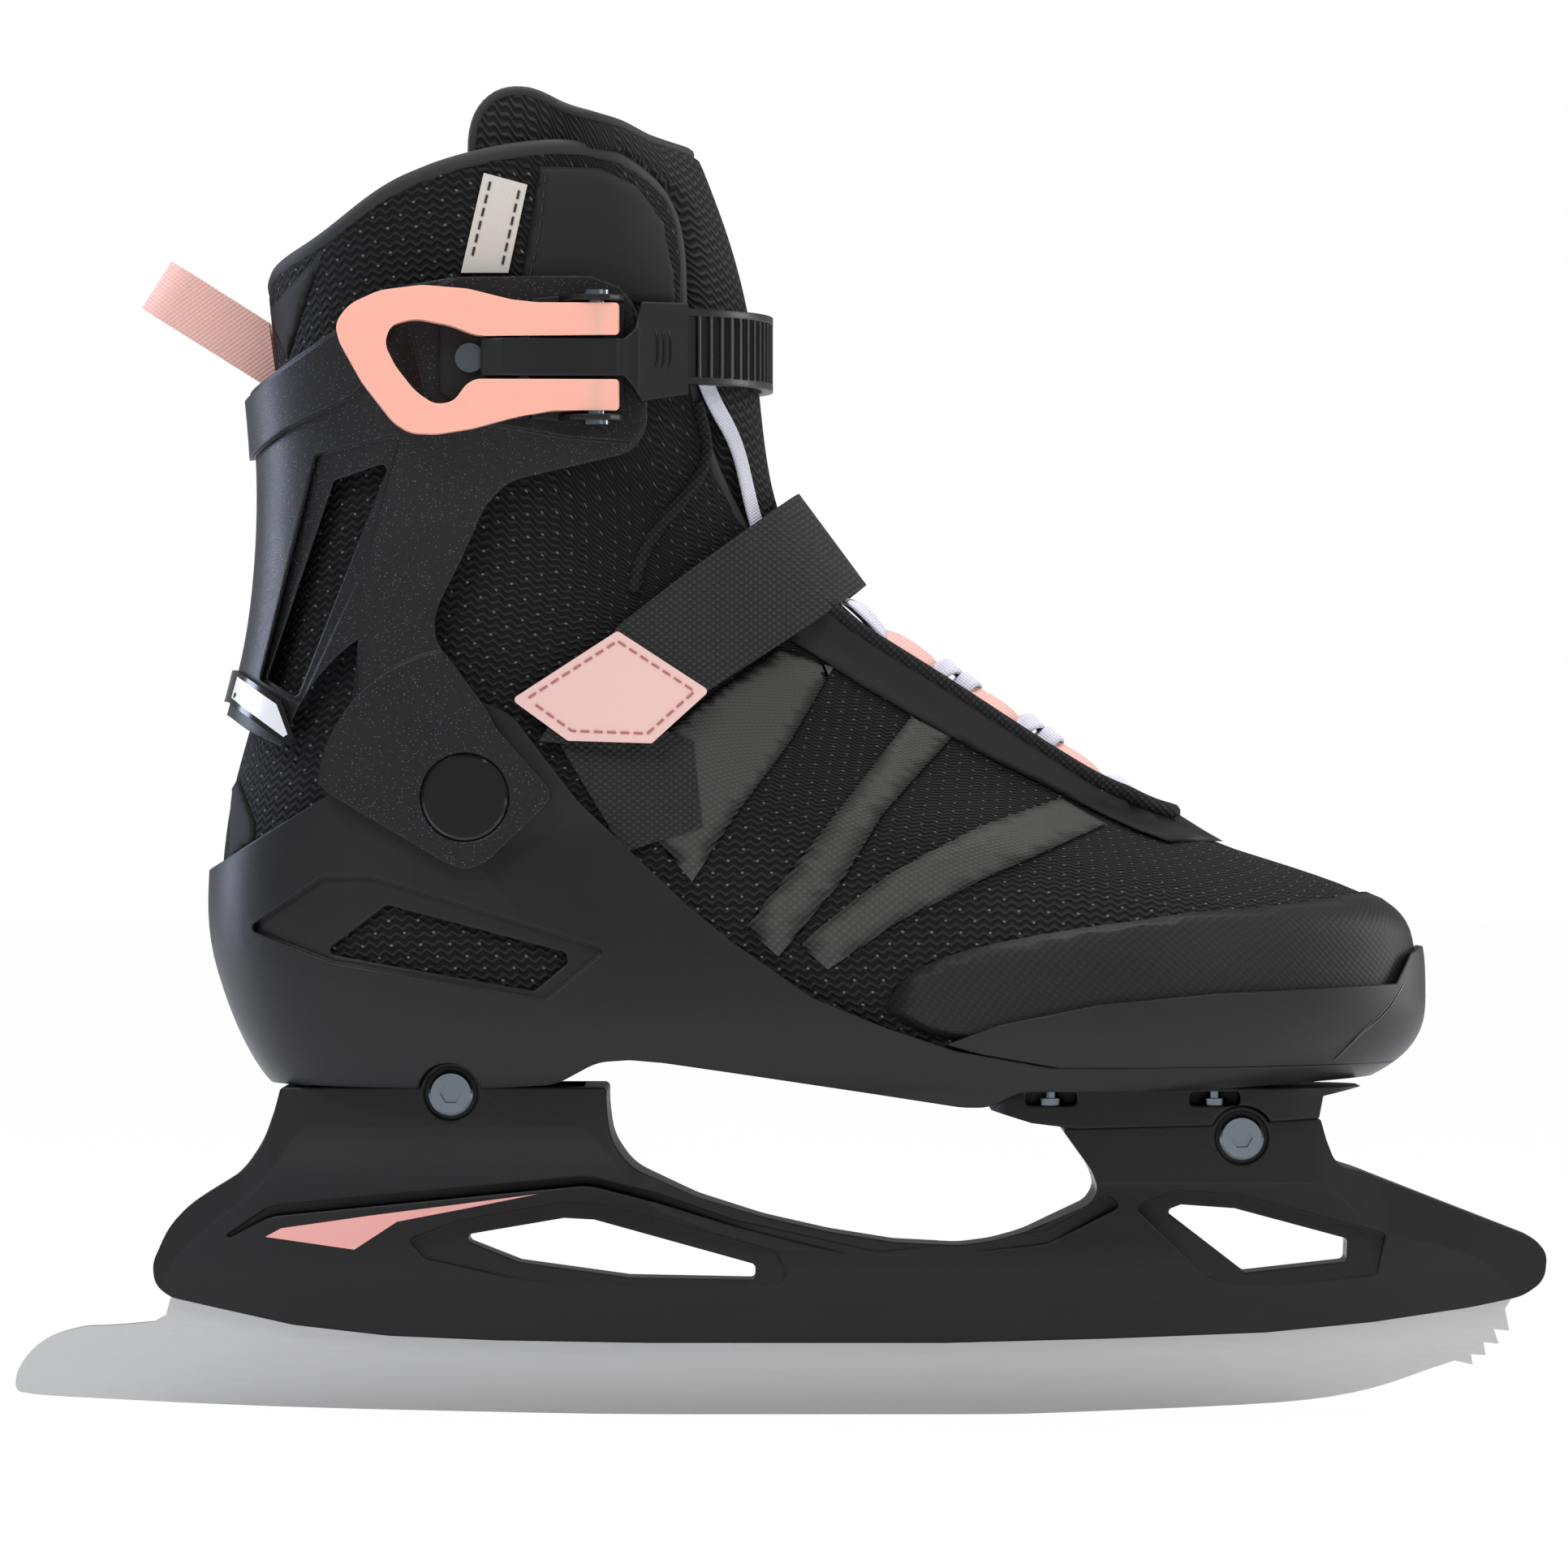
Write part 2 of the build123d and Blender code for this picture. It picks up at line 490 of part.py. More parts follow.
# panels sewn together: vamp, two quarters that meet down the heel, and two collar halves
PANELS = [
    ("boot_vamp", upper_form, (VAMP_SEAM, 200), (-95, 95)),
    ("boot_quarter_outer", upper_form, (-200, VAMP_SEAM), (-95, 0)),
    ("boot_quarter_inner", upper_form, (-200, VAMP_SEAM), (0, 95)),
    ("boot_collar_outer", collar_form, (-200, 200), (-95, 0)),
    ("boot_collar_inner", collar_form, (-200, 200), (0, 95)),
]
for panel_name, panel_form, (x0, x1), (y0, y1) in PANELS:
    with BuildPart() as panel:
        add(panel_form.part)
        with Locations(((x0 + x1) / 2, (y0 + y1) / 2, 190)):
            Box(x1 - x0, y1 - y0, 300, mode=Mode.INTERSECT)
    save(panel.part, panel_name)

# ---------------------------------------------------------------- boards and insole
form_board = boot_body(-4.7, 1.6)
with BuildPart() as lasting_board:
    add(form_board)
    add(floor_slice(0.0, 2.6), mode=Mode.INTERSECT)
save(lasting_board.part, "lasting_board")
with BuildPart() as insole:
    add(boot_body(-5.4, 1.6))
    add(floor_slice(2.6, 7.6), mode=Mode.INTERSECT)
save(insole.part, "insole")

# ---------------------------------------------------------------- tongue
form_tongue_out = boot_body(-5.2, 2.2)
form_tongue_in = boot_body(-10.5, 6.5)
TONGUE_LOW = [
    (104, 122), (98, 139), (90, 146), (60, 170), (10, 202), (-12, 210), radial(45, 88),
    radial(45, 66), (-22, 184), (10, 166), (60, 138), (90, 122),
]
TONGUE_LIP = [
    (90, 141.5), (92, 146), (60, 175), (10, 208), (-12, 211), (-15, 206), (-7.4, 199.6),
    (6.8, 189.2),
]
with BuildPart() as tongue_lower:
    add(form_0)
    add(form_tongue_in, mode=Mode.SUBTRACT)
    add(side_prism(TONGUE_LIP), mode=Mode.INTERSECT)
    with BuildPart(mode=Mode.PRIVATE) as tongue_bed:
        add(form_tongue_out)
        add(form_tongue_in, mode=Mode.SUBTRACT)
        add(side_prism(TONGUE_LOW), mode=Mode.INTERSECT)
    add(tongue_bed.part)
save(tongue_lower.part, "tongue_lower")

TONGUE_TOP = [
    radial(56, 74), radial(56, 110), (10, 262), (-10, 299), (-24.5, 300), (-52.2, 307.3), (-62.6, 311.2),
    (-69.6, 310.2), (-74.4, 305.8), (-76.4, 294.8), (-62, 262), (-50, 225),
]
with BuildPart() as tongue_upper:
    add(form_tongue_out)
    add(form_tongue_in, mode=Mode.SUBTRACT)
    add(side_prism(TONGUE_TOP), mode=Mode.INTERSECT)
save(tongue_upper.part, "tongue_upper")

# ---------------------------------------------------------------- instep strap, tab and anchor
strap_dir = (math.cos(math.radians(36.5)), math.sin(math.radians(36.5)))
strap_plane = Plane(origin=(7.5, 0, 207.2), x_dir=(0, 1, 0), z_dir=(strap_dir[1], 0, -strap_dir[0]))
LOOP = [
    (-37.6, 86), (-35.4, 66), (-33.2, 48), (-29.5, 30), (-22.5, 13), (-12, 3), (0, 0), (12, 3),
    (22.5, 13), (29.5, 30), (33.2, 48), (35.4, 66), (37.6, 86),
]


def strap_band(low, high, width, keep):
    """Layer of the strap loop between two offsets; y is across the boot, v runs down the loop."""
    pts = []
    for (y, v) in LOOP:
        n = math.hypot(y / 36.0, 1.0 if abs(y) < 20 else 0.25)
        pts.append((y, v, y / 36.0 / n, (1.0 if abs(y) < 20 else 0.25) / n))
    outer = [(y + high * a, -v + high * b) for y, v, a, b in pts]
    inner = [(y + low * a, -v + low * b) for y, v, a, b in pts]
    with BuildPart() as layer:
        with BuildSketch(strap_plane):
            with BuildLine():
                Spline(*outer)
                Line(outer[-1], inner[-1])
                Spline(*reversed(inner))
                Line(inner[0], outer[0])
            make_face()
        extrude(amount=width / 2, both=True)
        add(keep, mode=Mode.INTERSECT)
    return layer.part


strap_keep = side_prism(
    [(-60, 160), (-41.6, 187), (-4.6, 216), (-1, 230), (30, 230), (30, 190), (13.3, 193.9), (-20.5, 171.8), (-40, 158)],
)
with BuildPart() as instep_strap:
    add(strap_band(0.0, STRAP_T, 27.0, strap_keep))
save(instep_strap.part, "instep_strap")
TAB = [(-66.3, 169.7), (-41.6, 185.8), (-20.1, 171.8), (-33.6, 159.5), (-53.2, 160.1)]
with BuildPart() as strap_tab:
    add(strap_band(STRAP_T, STRAP_T + 1.6, 44.0, side_prism(TAB, -90, 0, 1.0)))
save(strap_tab.part, "strap_tab")
ANCHOR = [(-58, 164), (-50, 170), (-24, 160), (-22, 140), (-40, 134)]
with BuildPart() as instep_anchor:
    add(boot_body(1.3))
    add(side_prism(ANCHOR), mode=Mode.INTERSECT)
    add(boot_body(0.05), mode=Mode.SUBTRACT)
    add(side_prism(SHELL), mode=Mode.SUBTRACT)
save(instep_anchor.part, "instep_anchor")

# ---------------------------------------------------------------- lever buckle (flat local frame on the seat)
with BuildPart() as buckle_base:
    with BuildSketch(seat.offset(0)):
        with BuildLine():
            Polyline(
                (-36, 241), (-36, 256.5), (-30, 261), (-9, 263.3), (7, 263.3), (7, 234.2),
                (-9, 234.2), (-30, 236.5), close=True,
            )
        make_face()
        with Locations((-29.1, 248.8)):
            Circle(1.5, mode=Mode.SUBTRACT)
    extrude(amount=1.2)
    for z0 in (234.2, 261.9):
        with BuildSketch(
            Plane(origin=(seat.origin.X, seat.origin.Y, z0), x_dir=seat.x_dir, z_dir=(0, 0, 1)),
        ):
            with BuildLine():
                Polyline((-9, 0), (7, 0), (5.5, -7.2), (3, -10.4), (-3, -10.4), (-6, -7.2), close=True)
            make_face()
            with Locations((0, -PIN_OUT)):
                Circle(2.0, mode=Mode.SUBTRACT)
        extrude(amount=1.4)
save(buckle_base.part, "buckle_base")

with BuildPart() as buckle_rivet:
    with BuildSketch(seat.offset(-1.5)):
        with Locations((-29.1, 248.8)):
            Circle(1.5)
    extrude(amount=2.8)
    with BuildSketch(seat.offset(1.2)):
        with Locations((-29.1, 248.8)):
            Circle(3.4)
    extrude(amount=1.2)
save(buckle_rivet.part, "buckle_rivet")

top_view = Plane(origin=(seat.origin.X, seat.origin.Y, 225), x_dir=seat.x_dir, z_dir=(0, 0, 1))
LEVER_OUT = [
    (-60.3, 256.3), (-57.2, 260.6), (-50.2, 263.9), (-40.3, 265.2), (-29.8, 264.4),
    (-19.6, 261.9), (-13.6, 261.3), (5.4, 261.3), (5.4, 253.9), (-27.5, 253.5), (-33.5, 255.9),
    (-42, 257.5), (-47.6, 255.9), (-49.0, 251.6), (-46.6, 246.6), (-42, 240.7), (-37.4, 237.6),
    (-33.0, 238.3), (-29.2, 243.6), (5.4, 243.6), (5.4, 236.4), (-10, 236.4), (-19.6, 234.6),
    (-28.3, 232.2), (-36.8, 230.8), (-42.8, 231.0), (-46.8, 233.4), (-54, 242.6), (-59.4, 252.2),
]
with BuildPart() as buckle_lever:
    with BuildSketch(seat.offset(0)):
        with BuildLine():
            FilletPolyline(*LEVER_OUT, radius=corner_radii(LEVER_OUT, 14), close=True)
        make_face()
    extrude(amount=20)
    with BuildPart(mode=Mode.PRIVATE) as lever_slab:
        with BuildSketch(top_view):
            with BuildLine():
                Polyline(
                    (-62, -5.0), (-45, -3.4), (-6, -2.6), (5.5, -2.6), (5.5, -9.4), (-30, -9.4),
                    (-48, -10.2), (-62, -11.2), close=True,
                )
            make_face()
        extrude(amount=45)
        with BuildSketch(top_view):
            with Locations((3.2, -6)):
                Rectangle(6.4, 12)
            with Locations((0, -PIN_OUT)):
                Circle(5.4, mode=Mode.SUBTRACT)
        extrude(amount=45, mode=Mode.SUBTRACT)
    add(lever_slab.part, mode=Mode.INTERSECT)
    for s, t, r in ((0, PIN_OUT, 2.05), (ARM_PIN_S, ARM_PIN_T, 1.75)):
        with BuildSketch(top_view):
            with Locations((s, -t)):
                Circle(r)
        extrude(amount=45, mode=Mode.SUBTRACT)
save(buckle_lever.part, "buckle_lever")


def z_pin(s, t, radius, z0, z1):
    with BuildPart() as pin:
        with BuildSketch(
            Plane(origin=(seat.origin.X, seat.origin.Y, z0), x_dir=seat.x_dir, z_dir=(0, 0, 1)),
        ):
            with Locations((s, -t)):
                Circle(radius)
        extrude(amount=z1 - z0)
    return pin.part


with BuildPart() as lever_pins:
    add(z_pin(0, PIN_OUT, 2.0, 234.2, 243.6))
    add(z_pin(0, PIN_OUT, 3.0, 233.2, 234.2))
    add(z_pin(0, PIN_OUT, 2.0, 253.9, 263.3))
    add(z_pin(0, PIN_OUT, 3.0, 263.3, 264.3))
save(lever_pins.part, "lever_pins")

with BuildPart() as arm_pin:
    add(z_pin(ARM_PIN_S, ARM_PIN_T, 1.75, 234.5, 262.2))
    add(z_pin(ARM_PIN_S, ARM_PIN_T, 1.75, 234.0, 263.0), mode=Mode.INTERSECT)
save(arm_pin.part, "arm_pin")

with BuildPart() as buckle_arm:
    with BuildSketch(seat.offset(0)):
        with BuildLine():
            Polyline(
                (-26.6, 244.4), (-26.6, 253.1), (6.5, 253.1), (9.2, 255.5), (10.7, 261.8),
                (21.7, 261.6), (21.7, 240.5), (10.7, 238.7), (8.8, 242), (6.5, 244.4), close=True,
            )
        make_face()
    extrude(amount=20)
    with BuildPart(mode=Mode.PRIVATE) as arm_slab:
        with BuildSketch(top_view):
            with BuildLine():
                Polyline(
                    (-26.6, -3.4), (-13, -3.4), (7.5, -3.2), (9, -1.4), (22, 0.2), (22, -3.0),
                    (10, -5.4), (5, -9.0), (-22, -9.4), (-26.6, -7.8), close=True,
                )
            make_face()
        extrude(amount=45)
    add(arm_slab.part, mode=Mode.INTERSECT)
    add(z_pin(ARM_PIN_S, ARM_PIN_T, 1.82, 225, 270), mode=Mode.SUBTRACT)
save(buckle_arm.part, "buckle_arm")

# ---------------------------------------------------------------- ankle ladder strap
LADDER_PATH = [
    (-34.4, -44.8), (-25, -39.4), (-14.5, -28), (-9.2, -14), (-7.9, 0), (-9.4, 14), (-15, 28),
    (-27, 40.5), (-44, 48), (-66, 50.2),
]
ladder_spine = Edge.make_spline([Vector(x, y, 0) for x, y in LADDER_PATH])


def ladder_points(grow):
    out = []
    for i in range(17):
        p = ladder_spine.position_at(i / 16)
        t = ladder_spine.tangent_at(i / 16)
        out.append((p.X + t.Y * grow, p.Y - t.X * grow))
    return out


def ladder_layer(low, high, z0, z1):
    outer = ladder_points(high)
    inner = ladder_points(low)
    with BuildPart() as layer:
        with BuildSketch(Plane.XY.offset(z0)):
            with BuildLine():
                Spline(*outer)
                Line(outer[-1], inner[-1])
                Spline(*reversed(inner))
                Line(inner[0], outer[0])
            make_face()
        extrude(amount=z1 - z0)
    return layer.part


with BuildPart() as ankle_strap:
    add(ladder_layer(0, 1.7, 243.2, 260.8))
    add(ladder_layer(0, 2.6, 243.2, 244.9))
    add(ladder_layer(0, 2.6, 259.1, 260.8))
    for i in range(26):
        u = 0.085 + 0.0235 * i
        at = ladder_spine.position_at(u)
        tangent = ladder_spine.tangent_at(u)
        angle = math.degrees(math.atan2(tangent.Y, tangent.X))
        with Locations(Location((at.X, at.Y, 252), (0, 0, angle))):
            with Locations((0, -1.9, 0)):
                Box(0.9, 1.3, 15.2)
    add(y_rod((-60, 252), 2.0, 40, 70), mode=Mode.SUBTRACT)
save(ankle_strap.part, "ankle_strap")
with BuildPart() as strap_rivet:
    add(y_rod((-60, 252), 2.0, 45.2, 53.2))
    add(y_rod((-60, 252), 4.5, 53.1, 54.5))
save(strap_rivet.part, "strap_rivet")

# ---------------------------------------------------------------- collar pads, tag, pull loop
skin = boot_body(0.05)
form_pad = boot_body(1.4)
SIDE_PAD = [(-60.1, 294), (-45.8, 293.8), (-37.5, 289.5), (-32, 282), (-29.5, 270.5), (-63.6, 270.5)]
with BuildPart() as collar_pads:
    add(form_pad)
    add(side_prism(SIDE_PAD), mode=Mode.INTERSECT)
    add(skin, mode=Mode.SUBTRACT)
save(collar_pads.part, "collar_pads")
TAG = [(-72.5, 292.1), (-62.4, 289.4), (-66.9, 269), (-77.9, 269)]
with BuildPart() as size_tag:
    add(boot_body(0.8))
    add(side_prism(TAG, -95, 0), mode=Mode.INTERSECT)
    add(skin, mode=Mode.SUBTRACT)
save(size_tag.part, "size_tag")

loop_plane = Plane(origin=(-120.8, 0, 249.2), x_dir=(-0.846, 0, 0.533), z_dir=(-0.533, 0, -0.846))
with BuildPart() as pull_loop:
    with BuildSketch(loop_plane):
        with BuildLine():
            FilletPolyline(
                (0, -1.6), (14, -3.6), (33, -6.5), (38.6, 0), (33, 6.5), (14, 3.6), (0, 1.6),
                radius=[0, 8, 5, 5, 5, 8, 0], close=True,
            )
        make_face()
        offset(amount=-1.3, kind=Kind.INTERSECTION, mode=Mode.SUBTRACT)
    extrude(amount=6.6, both=True)
    add(boot_body(0.2), mode=Mode.SUBTRACT)
save(pull_loop.part, "pull_loop")

# ---------------------------------------------------------------- laces and loops on the throat
ROWS = [(17, 187.5), (41, 170.5), (63, 156.2), (81, 145.0)]
with BuildPart() as lace:
    for i in range(3):
        for side in (-1, 1):
            x0, z0 = ROWS[i]
            x1, z1 = ROWS[i + 1]
            mid = ((x0 + x1) / 2, 0, (z0 + z1) / 2 + 2.4 + 1.3 * side)
            with BuildLine() as run:
                Spline((x0, -side * 15, z0 - 0.6), mid, (x1, side * 15, z1 - 0.6))
            with BuildSketch(Plane(origin=run.line @ 0, z_dir=run.line % 0)):
                Circle(1.25)
            sweep()
    with BuildLine() as bar:
        Spline((84, -14, 143.6), (86, 0, 146.6), (84, 14, 143.6))
    with BuildSketch(Plane(origin=bar.line @ 0, z_dir=bar.line % 0)):
        Circle(1.25)
    sweep()
save(lace.part, "lace")
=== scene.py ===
import math
import bmesh
import bpy
import numpy as np
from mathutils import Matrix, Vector
from mathutils.geometry import delaunay_2d_cdt


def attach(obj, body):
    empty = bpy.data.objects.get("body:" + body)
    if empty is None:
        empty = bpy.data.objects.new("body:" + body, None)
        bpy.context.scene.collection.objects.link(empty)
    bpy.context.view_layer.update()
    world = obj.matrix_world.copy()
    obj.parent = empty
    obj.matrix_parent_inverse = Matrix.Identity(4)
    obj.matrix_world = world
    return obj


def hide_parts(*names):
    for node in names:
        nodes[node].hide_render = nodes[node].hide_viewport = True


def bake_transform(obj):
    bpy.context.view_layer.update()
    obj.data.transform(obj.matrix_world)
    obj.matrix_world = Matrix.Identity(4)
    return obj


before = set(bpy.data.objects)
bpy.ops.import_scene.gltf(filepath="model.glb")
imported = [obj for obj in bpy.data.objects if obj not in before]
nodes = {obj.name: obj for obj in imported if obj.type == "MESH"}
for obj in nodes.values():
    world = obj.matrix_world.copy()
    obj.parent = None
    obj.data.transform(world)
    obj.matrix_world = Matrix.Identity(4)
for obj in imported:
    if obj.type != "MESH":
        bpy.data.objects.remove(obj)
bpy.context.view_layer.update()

# ---------------------------------------------------------------- studio
# Camera square-on to the outer side, almost two metres off, over a pale floor that reads as white.
# Five soft lamps: key and fill in front, one above, and two behind that draw the edges.
CAMERA_AWAY = 1.95           # metres from the middle plane of the skate
SEEN_WIDTH = 0.3735          # metres across the picture at that distance
SENSOR_WIDTH = 36
FLOOR_GLOW = 0.985           # share of the floor that the camera sees as plain white
DAYLIGHT = 0.30              # strength of the white room as a light

camera_data = bpy.data.cameras.new("camera")
camera = bpy.data.objects.new("camera", camera_data)
bpy.context.scene.collection.objects.link(camera)
camera.location = (-0.0027, -CAMERA_AWAY, 0.150)
camera.rotation_euler = (math.radians(90), 0, 0)
camera_data.lens = SENSOR_WIDTH * CAMERA_AWAY / SEEN_WIDTH
camera_data.clip_end = 20
bpy.context.scene.camera = camera


def linear(code):
    """An sRGB hex value as a linear colour."""
    channels = []
    for i in (1, 3, 5):
        c = int(code[i:i + 2], 16) / 255
        channels.append(c / 12.92 if c <= 0.04045 else ((c + 0.055) / 1.055) ** 2.4)
    return channels + [1.0]


def node(tree, kind, inputs=None, **settings):
    """Add one shader node; an input is a value or another node's output."""
    made = tree.nodes.new(kind)
    for key, value in settings.items():
        setattr(made, key, value)
    for key, value in (inputs or {}).items():
        if isinstance(value, bpy.types.NodeSocket):
            tree.links.new(value, made.inputs[key])
        else:
            made.inputs[key].default_value = value
    return made


def soft_lamp(name, at, aim, size, power, tint="#FFFFFF"):
    data = bpy.data.lights.new(name, "AREA")
    data.shape = "RECTANGLE"
    data.size, data.size_y = size
    data.energy = power
    data.color = linear(tint)[:3]
    lamp = bpy.data.objects.new(name, data)
    bpy.context.scene.collection.objects.link(lamp)
    lamp.location = at
    lamp.rotation_euler = (Vector(aim) - Vector(at)).to_track_quat("-Z", "Y").to_euler()


# places, aims and sizes of the lamps in metres, power in watts
soft_lamp("key", (-0.8, -1.4, 1.4), (-0.05, 0, 0.15), (0.8, 0.8), 24)
soft_lamp("fill", (1.3, -1.2, 0.9), (0, 0, 0.12), (0.9, 0.9), 11)
soft_lamp("top", (0.1, 0.1, 1.6), (0, 0, 0.15), (1.2, 0.6), 20)
soft_lamp("back_left", (-1.3, 0.5, 0.6), (-0.1, 0, 0.18), (0.4, 1.2), 16, "#DCE4FF")
soft_lamp("back_right", (1.4, 0.6, 0.5), (0.1, 0, 0.12), (0.4, 1.0), 10)

world = bpy.data.worlds.new("studio")
world.use_nodes = True
room = world.node_tree.nodes["Background"]
room.inputs["Color"].default_value = linear("#FFFFFF")
seen = node(world.node_tree, "ShaderNodeLightPath").outputs["Is Camera Ray"]
level = node(world.node_tree, "ShaderNodeMapRange", {"Value": seen, "To Min": DAYLIGHT, "To Max": 1.0})
world.node_tree.links.new(level.outputs[0], room.inputs["Strength"])
bpy.context.scene.world = world
bpy.context.scene.view_settings.view_transform = "Standard"


def principled(name, colour, rough, metal=0.0, **more):
    """A material, its node tree and its shader. IOR stays at 1.5, right for the plastics and cloths."""
    made = bpy.data.materials.new(name)
    made.use_nodes = True
    shader = made.node_tree.nodes["Principled BSDF"]
    shader.inputs["Base Color"].default_value = linear(colour)
    shader.inputs["Roughness"].default_value = rough
    shader.inputs["Metallic"].default_value = metal
    for key, value in more.items():
        shader.inputs[key.replace("_", " ")].default_value = value
    return made, made.node_tree, shader


bpy.ops.mesh.primitive_plane_add(size=14, location=(0, 0, 0))
floor = bpy.context.object
floor.name = "floor"
studio_paper, tree, shader = principled("studio_paper", "#F4F4F4", 0.9)
glow = node(tree, "ShaderNodeEmission", {"Color": linear("#FFFFFF"), "Strength": 1.0})
seen = node(tree, "ShaderNodeLightPath").outputs["Is Camera Ray"]
share = node(tree, "ShaderNodeMath", {0: seen, 1: FLOOR_GLOW}, operation="MULTIPLY").outputs[0]
paper = node(tree, "ShaderNodeMixShader", {0: share, 1: shader.outputs[0], 2: glow.outputs[0]})
tree.links.new(paper.outputs[0], tree.nodes["Material Output"].inputs["Surface"])
floor.data.materials.append(studio_paper)

# ---------------------------------------------------------------- blade
# One runner stamped from stainless sheet, ground along its length, with toe picks cut in front.
# It sits in the slot of the holder and is held by the two cross bolts.
MM = 0.001                   # metres


def finish(material, *names):
    """Give CAD pieces their material."""
    for name in names:
        nodes[name].data.materials.clear()
        nodes[name].data.materials.append(material)


def brushed_stainless():
    """Stainless steel ground along X: fine long lines that spread the highlights up and down."""
    made, tree, shader = principled("brushed_stainless", "#BCBCBC", 0.34, 1.0)
    place = node(tree, "ShaderNodeTexCoord").outputs["Object"]
    place = node(tree, "ShaderNodeVectorMath", {0: place, "Scale": 1 / MM}, operation="SCALE").outputs[0]
    place = node(tree, "ShaderNodeMapping", {"Vector": place, "Scale": (0.02, 1.0, 1.6)}).outputs[0]
    lines = node(tree, "ShaderNodeTexNoise", {"Vector": place, "Scale": 4.0, "Detail": 4.0}).outputs["Fac"]
    relief = node(tree, "ShaderNodeBump", {"Height": lines, "Distance": 0.02 * MM, "Strength": 1.0})
    tree.links.new(relief.outputs["Normal"], shader.inputs["Normal"])
    rough = node(tree, "ShaderNodeMapRange", {"Value": lines, "To Min": 0.28, "To Max": 0.44})
    tree.links.new(rough.outputs[0], shader.inputs["Roughness"])
    return made


finish(brushed_stainless(), "blade")

# ---------------------------------------------------------------- holder, mount and bolts
# The holder is moulded in black glass-filled nylon, with windows to save weight. Two zinc-plated
# cross bolts with nuts clamp the blade, and screws fix the front mount block to the shell.
EDGE_ROUND = 0.9             # radius that moulded edges show in the shading


def moulded(name, colour, rough, grains, depth, fleck=0.0, fleck_tint="#8A8E9A"):
    """Moulded plastic with a spark-eroded grain of so many grains to the millimetre, and a gloss that
    drifts a little across the piece. A fleck is metal flake mixed into the plastic."""
    made, tree, shader = principled(name, colour, rough, Specular_IOR_Level=0.3)
    place = node(tree, "ShaderNodeTexCoord").outputs["Object"]
    place = node(tree, "ShaderNodeVectorMath", {0: place, "Scale": 1 / MM}, operation="SCALE").outputs[0]
    grain = node(tree, "ShaderNodeTexNoise", {"Vector": place, "Scale": grains, "Detail": 2.0}).outputs["Fac"]
    edge = node(tree, "ShaderNodeBevel", {"Radius": EDGE_ROUND * MM}, samples=6).outputs[0]
    height = {"Height": grain, "Distance": depth * MM, "Strength": 1.0, "Normal": edge}
    relief = node(tree, "ShaderNodeBump", height)
    tree.links.new(relief.outputs["Normal"], shader.inputs["Normal"])
    drift = node(tree, "ShaderNodeTexNoise", {"Vector": place, "Scale": 0.05, "Detail": 2.0}).outputs["Fac"]
    spread = {"Value": drift, "To Min": rough - 0.05, "To Max": rough + 0.07}
    tree.links.new(node(tree, "ShaderNodeMapRange", spread).outputs[0], shader.inputs["Roughness"])
    if fleck:
        # Real flake is finer than the picture can show, so it is drawn half a millimetre apart.
        flakes = node(tree, "ShaderNodeTexVoronoi", {"Vector": place, "Scale": 1.9})
        fade = {"From Min": 0.12, "From Max": 0.26, "To Min": 1.0, "To Max": 0.0}
        spot = node(tree, "ShaderNodeMapRange", {"Value": flakes.outputs["Distance"]} | fade).outputs[0]
        draw = node(tree, "ShaderNodeSeparateColor", {"Color": flakes.outputs["Color"]}).outputs[0]
        chosen = node(tree, "ShaderNodeMath", {0: draw, 1: 0.62}, operation="GREATER_THAN").outputs[0]
        amount = node(tree, "ShaderNodeMath", {0: spot, 1: chosen}, operation="MULTIPLY").outputs[0]
        amount = node(tree, "ShaderNodeMath", {0: amount, 1: fleck}, operation="MULTIPLY").outputs[0]
        tints = {"Factor": amount, 6: linear(colour), 7: linear(fleck_tint)}
        tone = node(tree, "ShaderNodeMix", tints, data_type="RGBA").outputs[2]
        tree.links.new(tone, shader.inputs["Base Color"])
        tree.links.new(amount, shader.inputs["Metallic"])
    return made


# Glass-filled nylon is a little glossier than the shell; plated zinc is a smooth blue-grey mirror.
moulded_nylon = moulded("moulded_nylon", "#09090A", 0.38, 2.0, 0.03)
moulded_polypropylene = moulded("moulded_polypropylene", "#0C0C0D", 0.42, 2.4, 0.035)
zinc_plated_steel = principled("zinc_plated_steel", "#747C84", 0.24, 1.0)[0]
finish(moulded_nylon, "blade_holder")
finish(moulded_polypropylene, "front_mount")
finish(zinc_plated_steel, "rear_bolt", "rear_nut", "front_bolt", "front_nut", "mount_screws")

# ---------------------------------------------------------------- shell and toe cap
# The shell, sole and heel counter in one, is moulded polypropylene. A softer rubber cap is bonded
# over the toe, and two steel rivets carry the cuff under polished ABS caps.
moulded_rubber = moulded("moulded_rubber", "#121213", 0.46, 2.0, 0.04)
polished_abs = principled("polished_abs", "#0B0B0C", 0.16)[0]        # mirror-smooth, so sharp highlights
finish(moulded_polypropylene, "shell")
finish(moulded_rubber, "toe_cap")
finish(zinc_plated_steel, "pivot_rivets")
finish(polished_abs, "pivot_caps")

# ---------------------------------------------------------------- cuff and badge
# The hinged cuff is moulded nylon with metal flake in it, which glints grey under the lamps.
# Its rear badge is a gloss plate that is clipped on below the band.
flaked_nylon = moulded("flaked_nylon", "#0A0A0C", 0.40, 2.6, 0.05, 0.55)
finish(flaked_nylon, "cuff")
finish(polished_abs, "rear_badge")

# ---------------------------------------------------------------- buckle and ankle strap
# A riveted base carries the acetal lever on two stub pins, and the arm turns in the lever on one
# pin and hooks the ladder strap. The lever's edges are rounded in the mould.
LEVER_EDGE = 1.1             # radius along the lever's edges
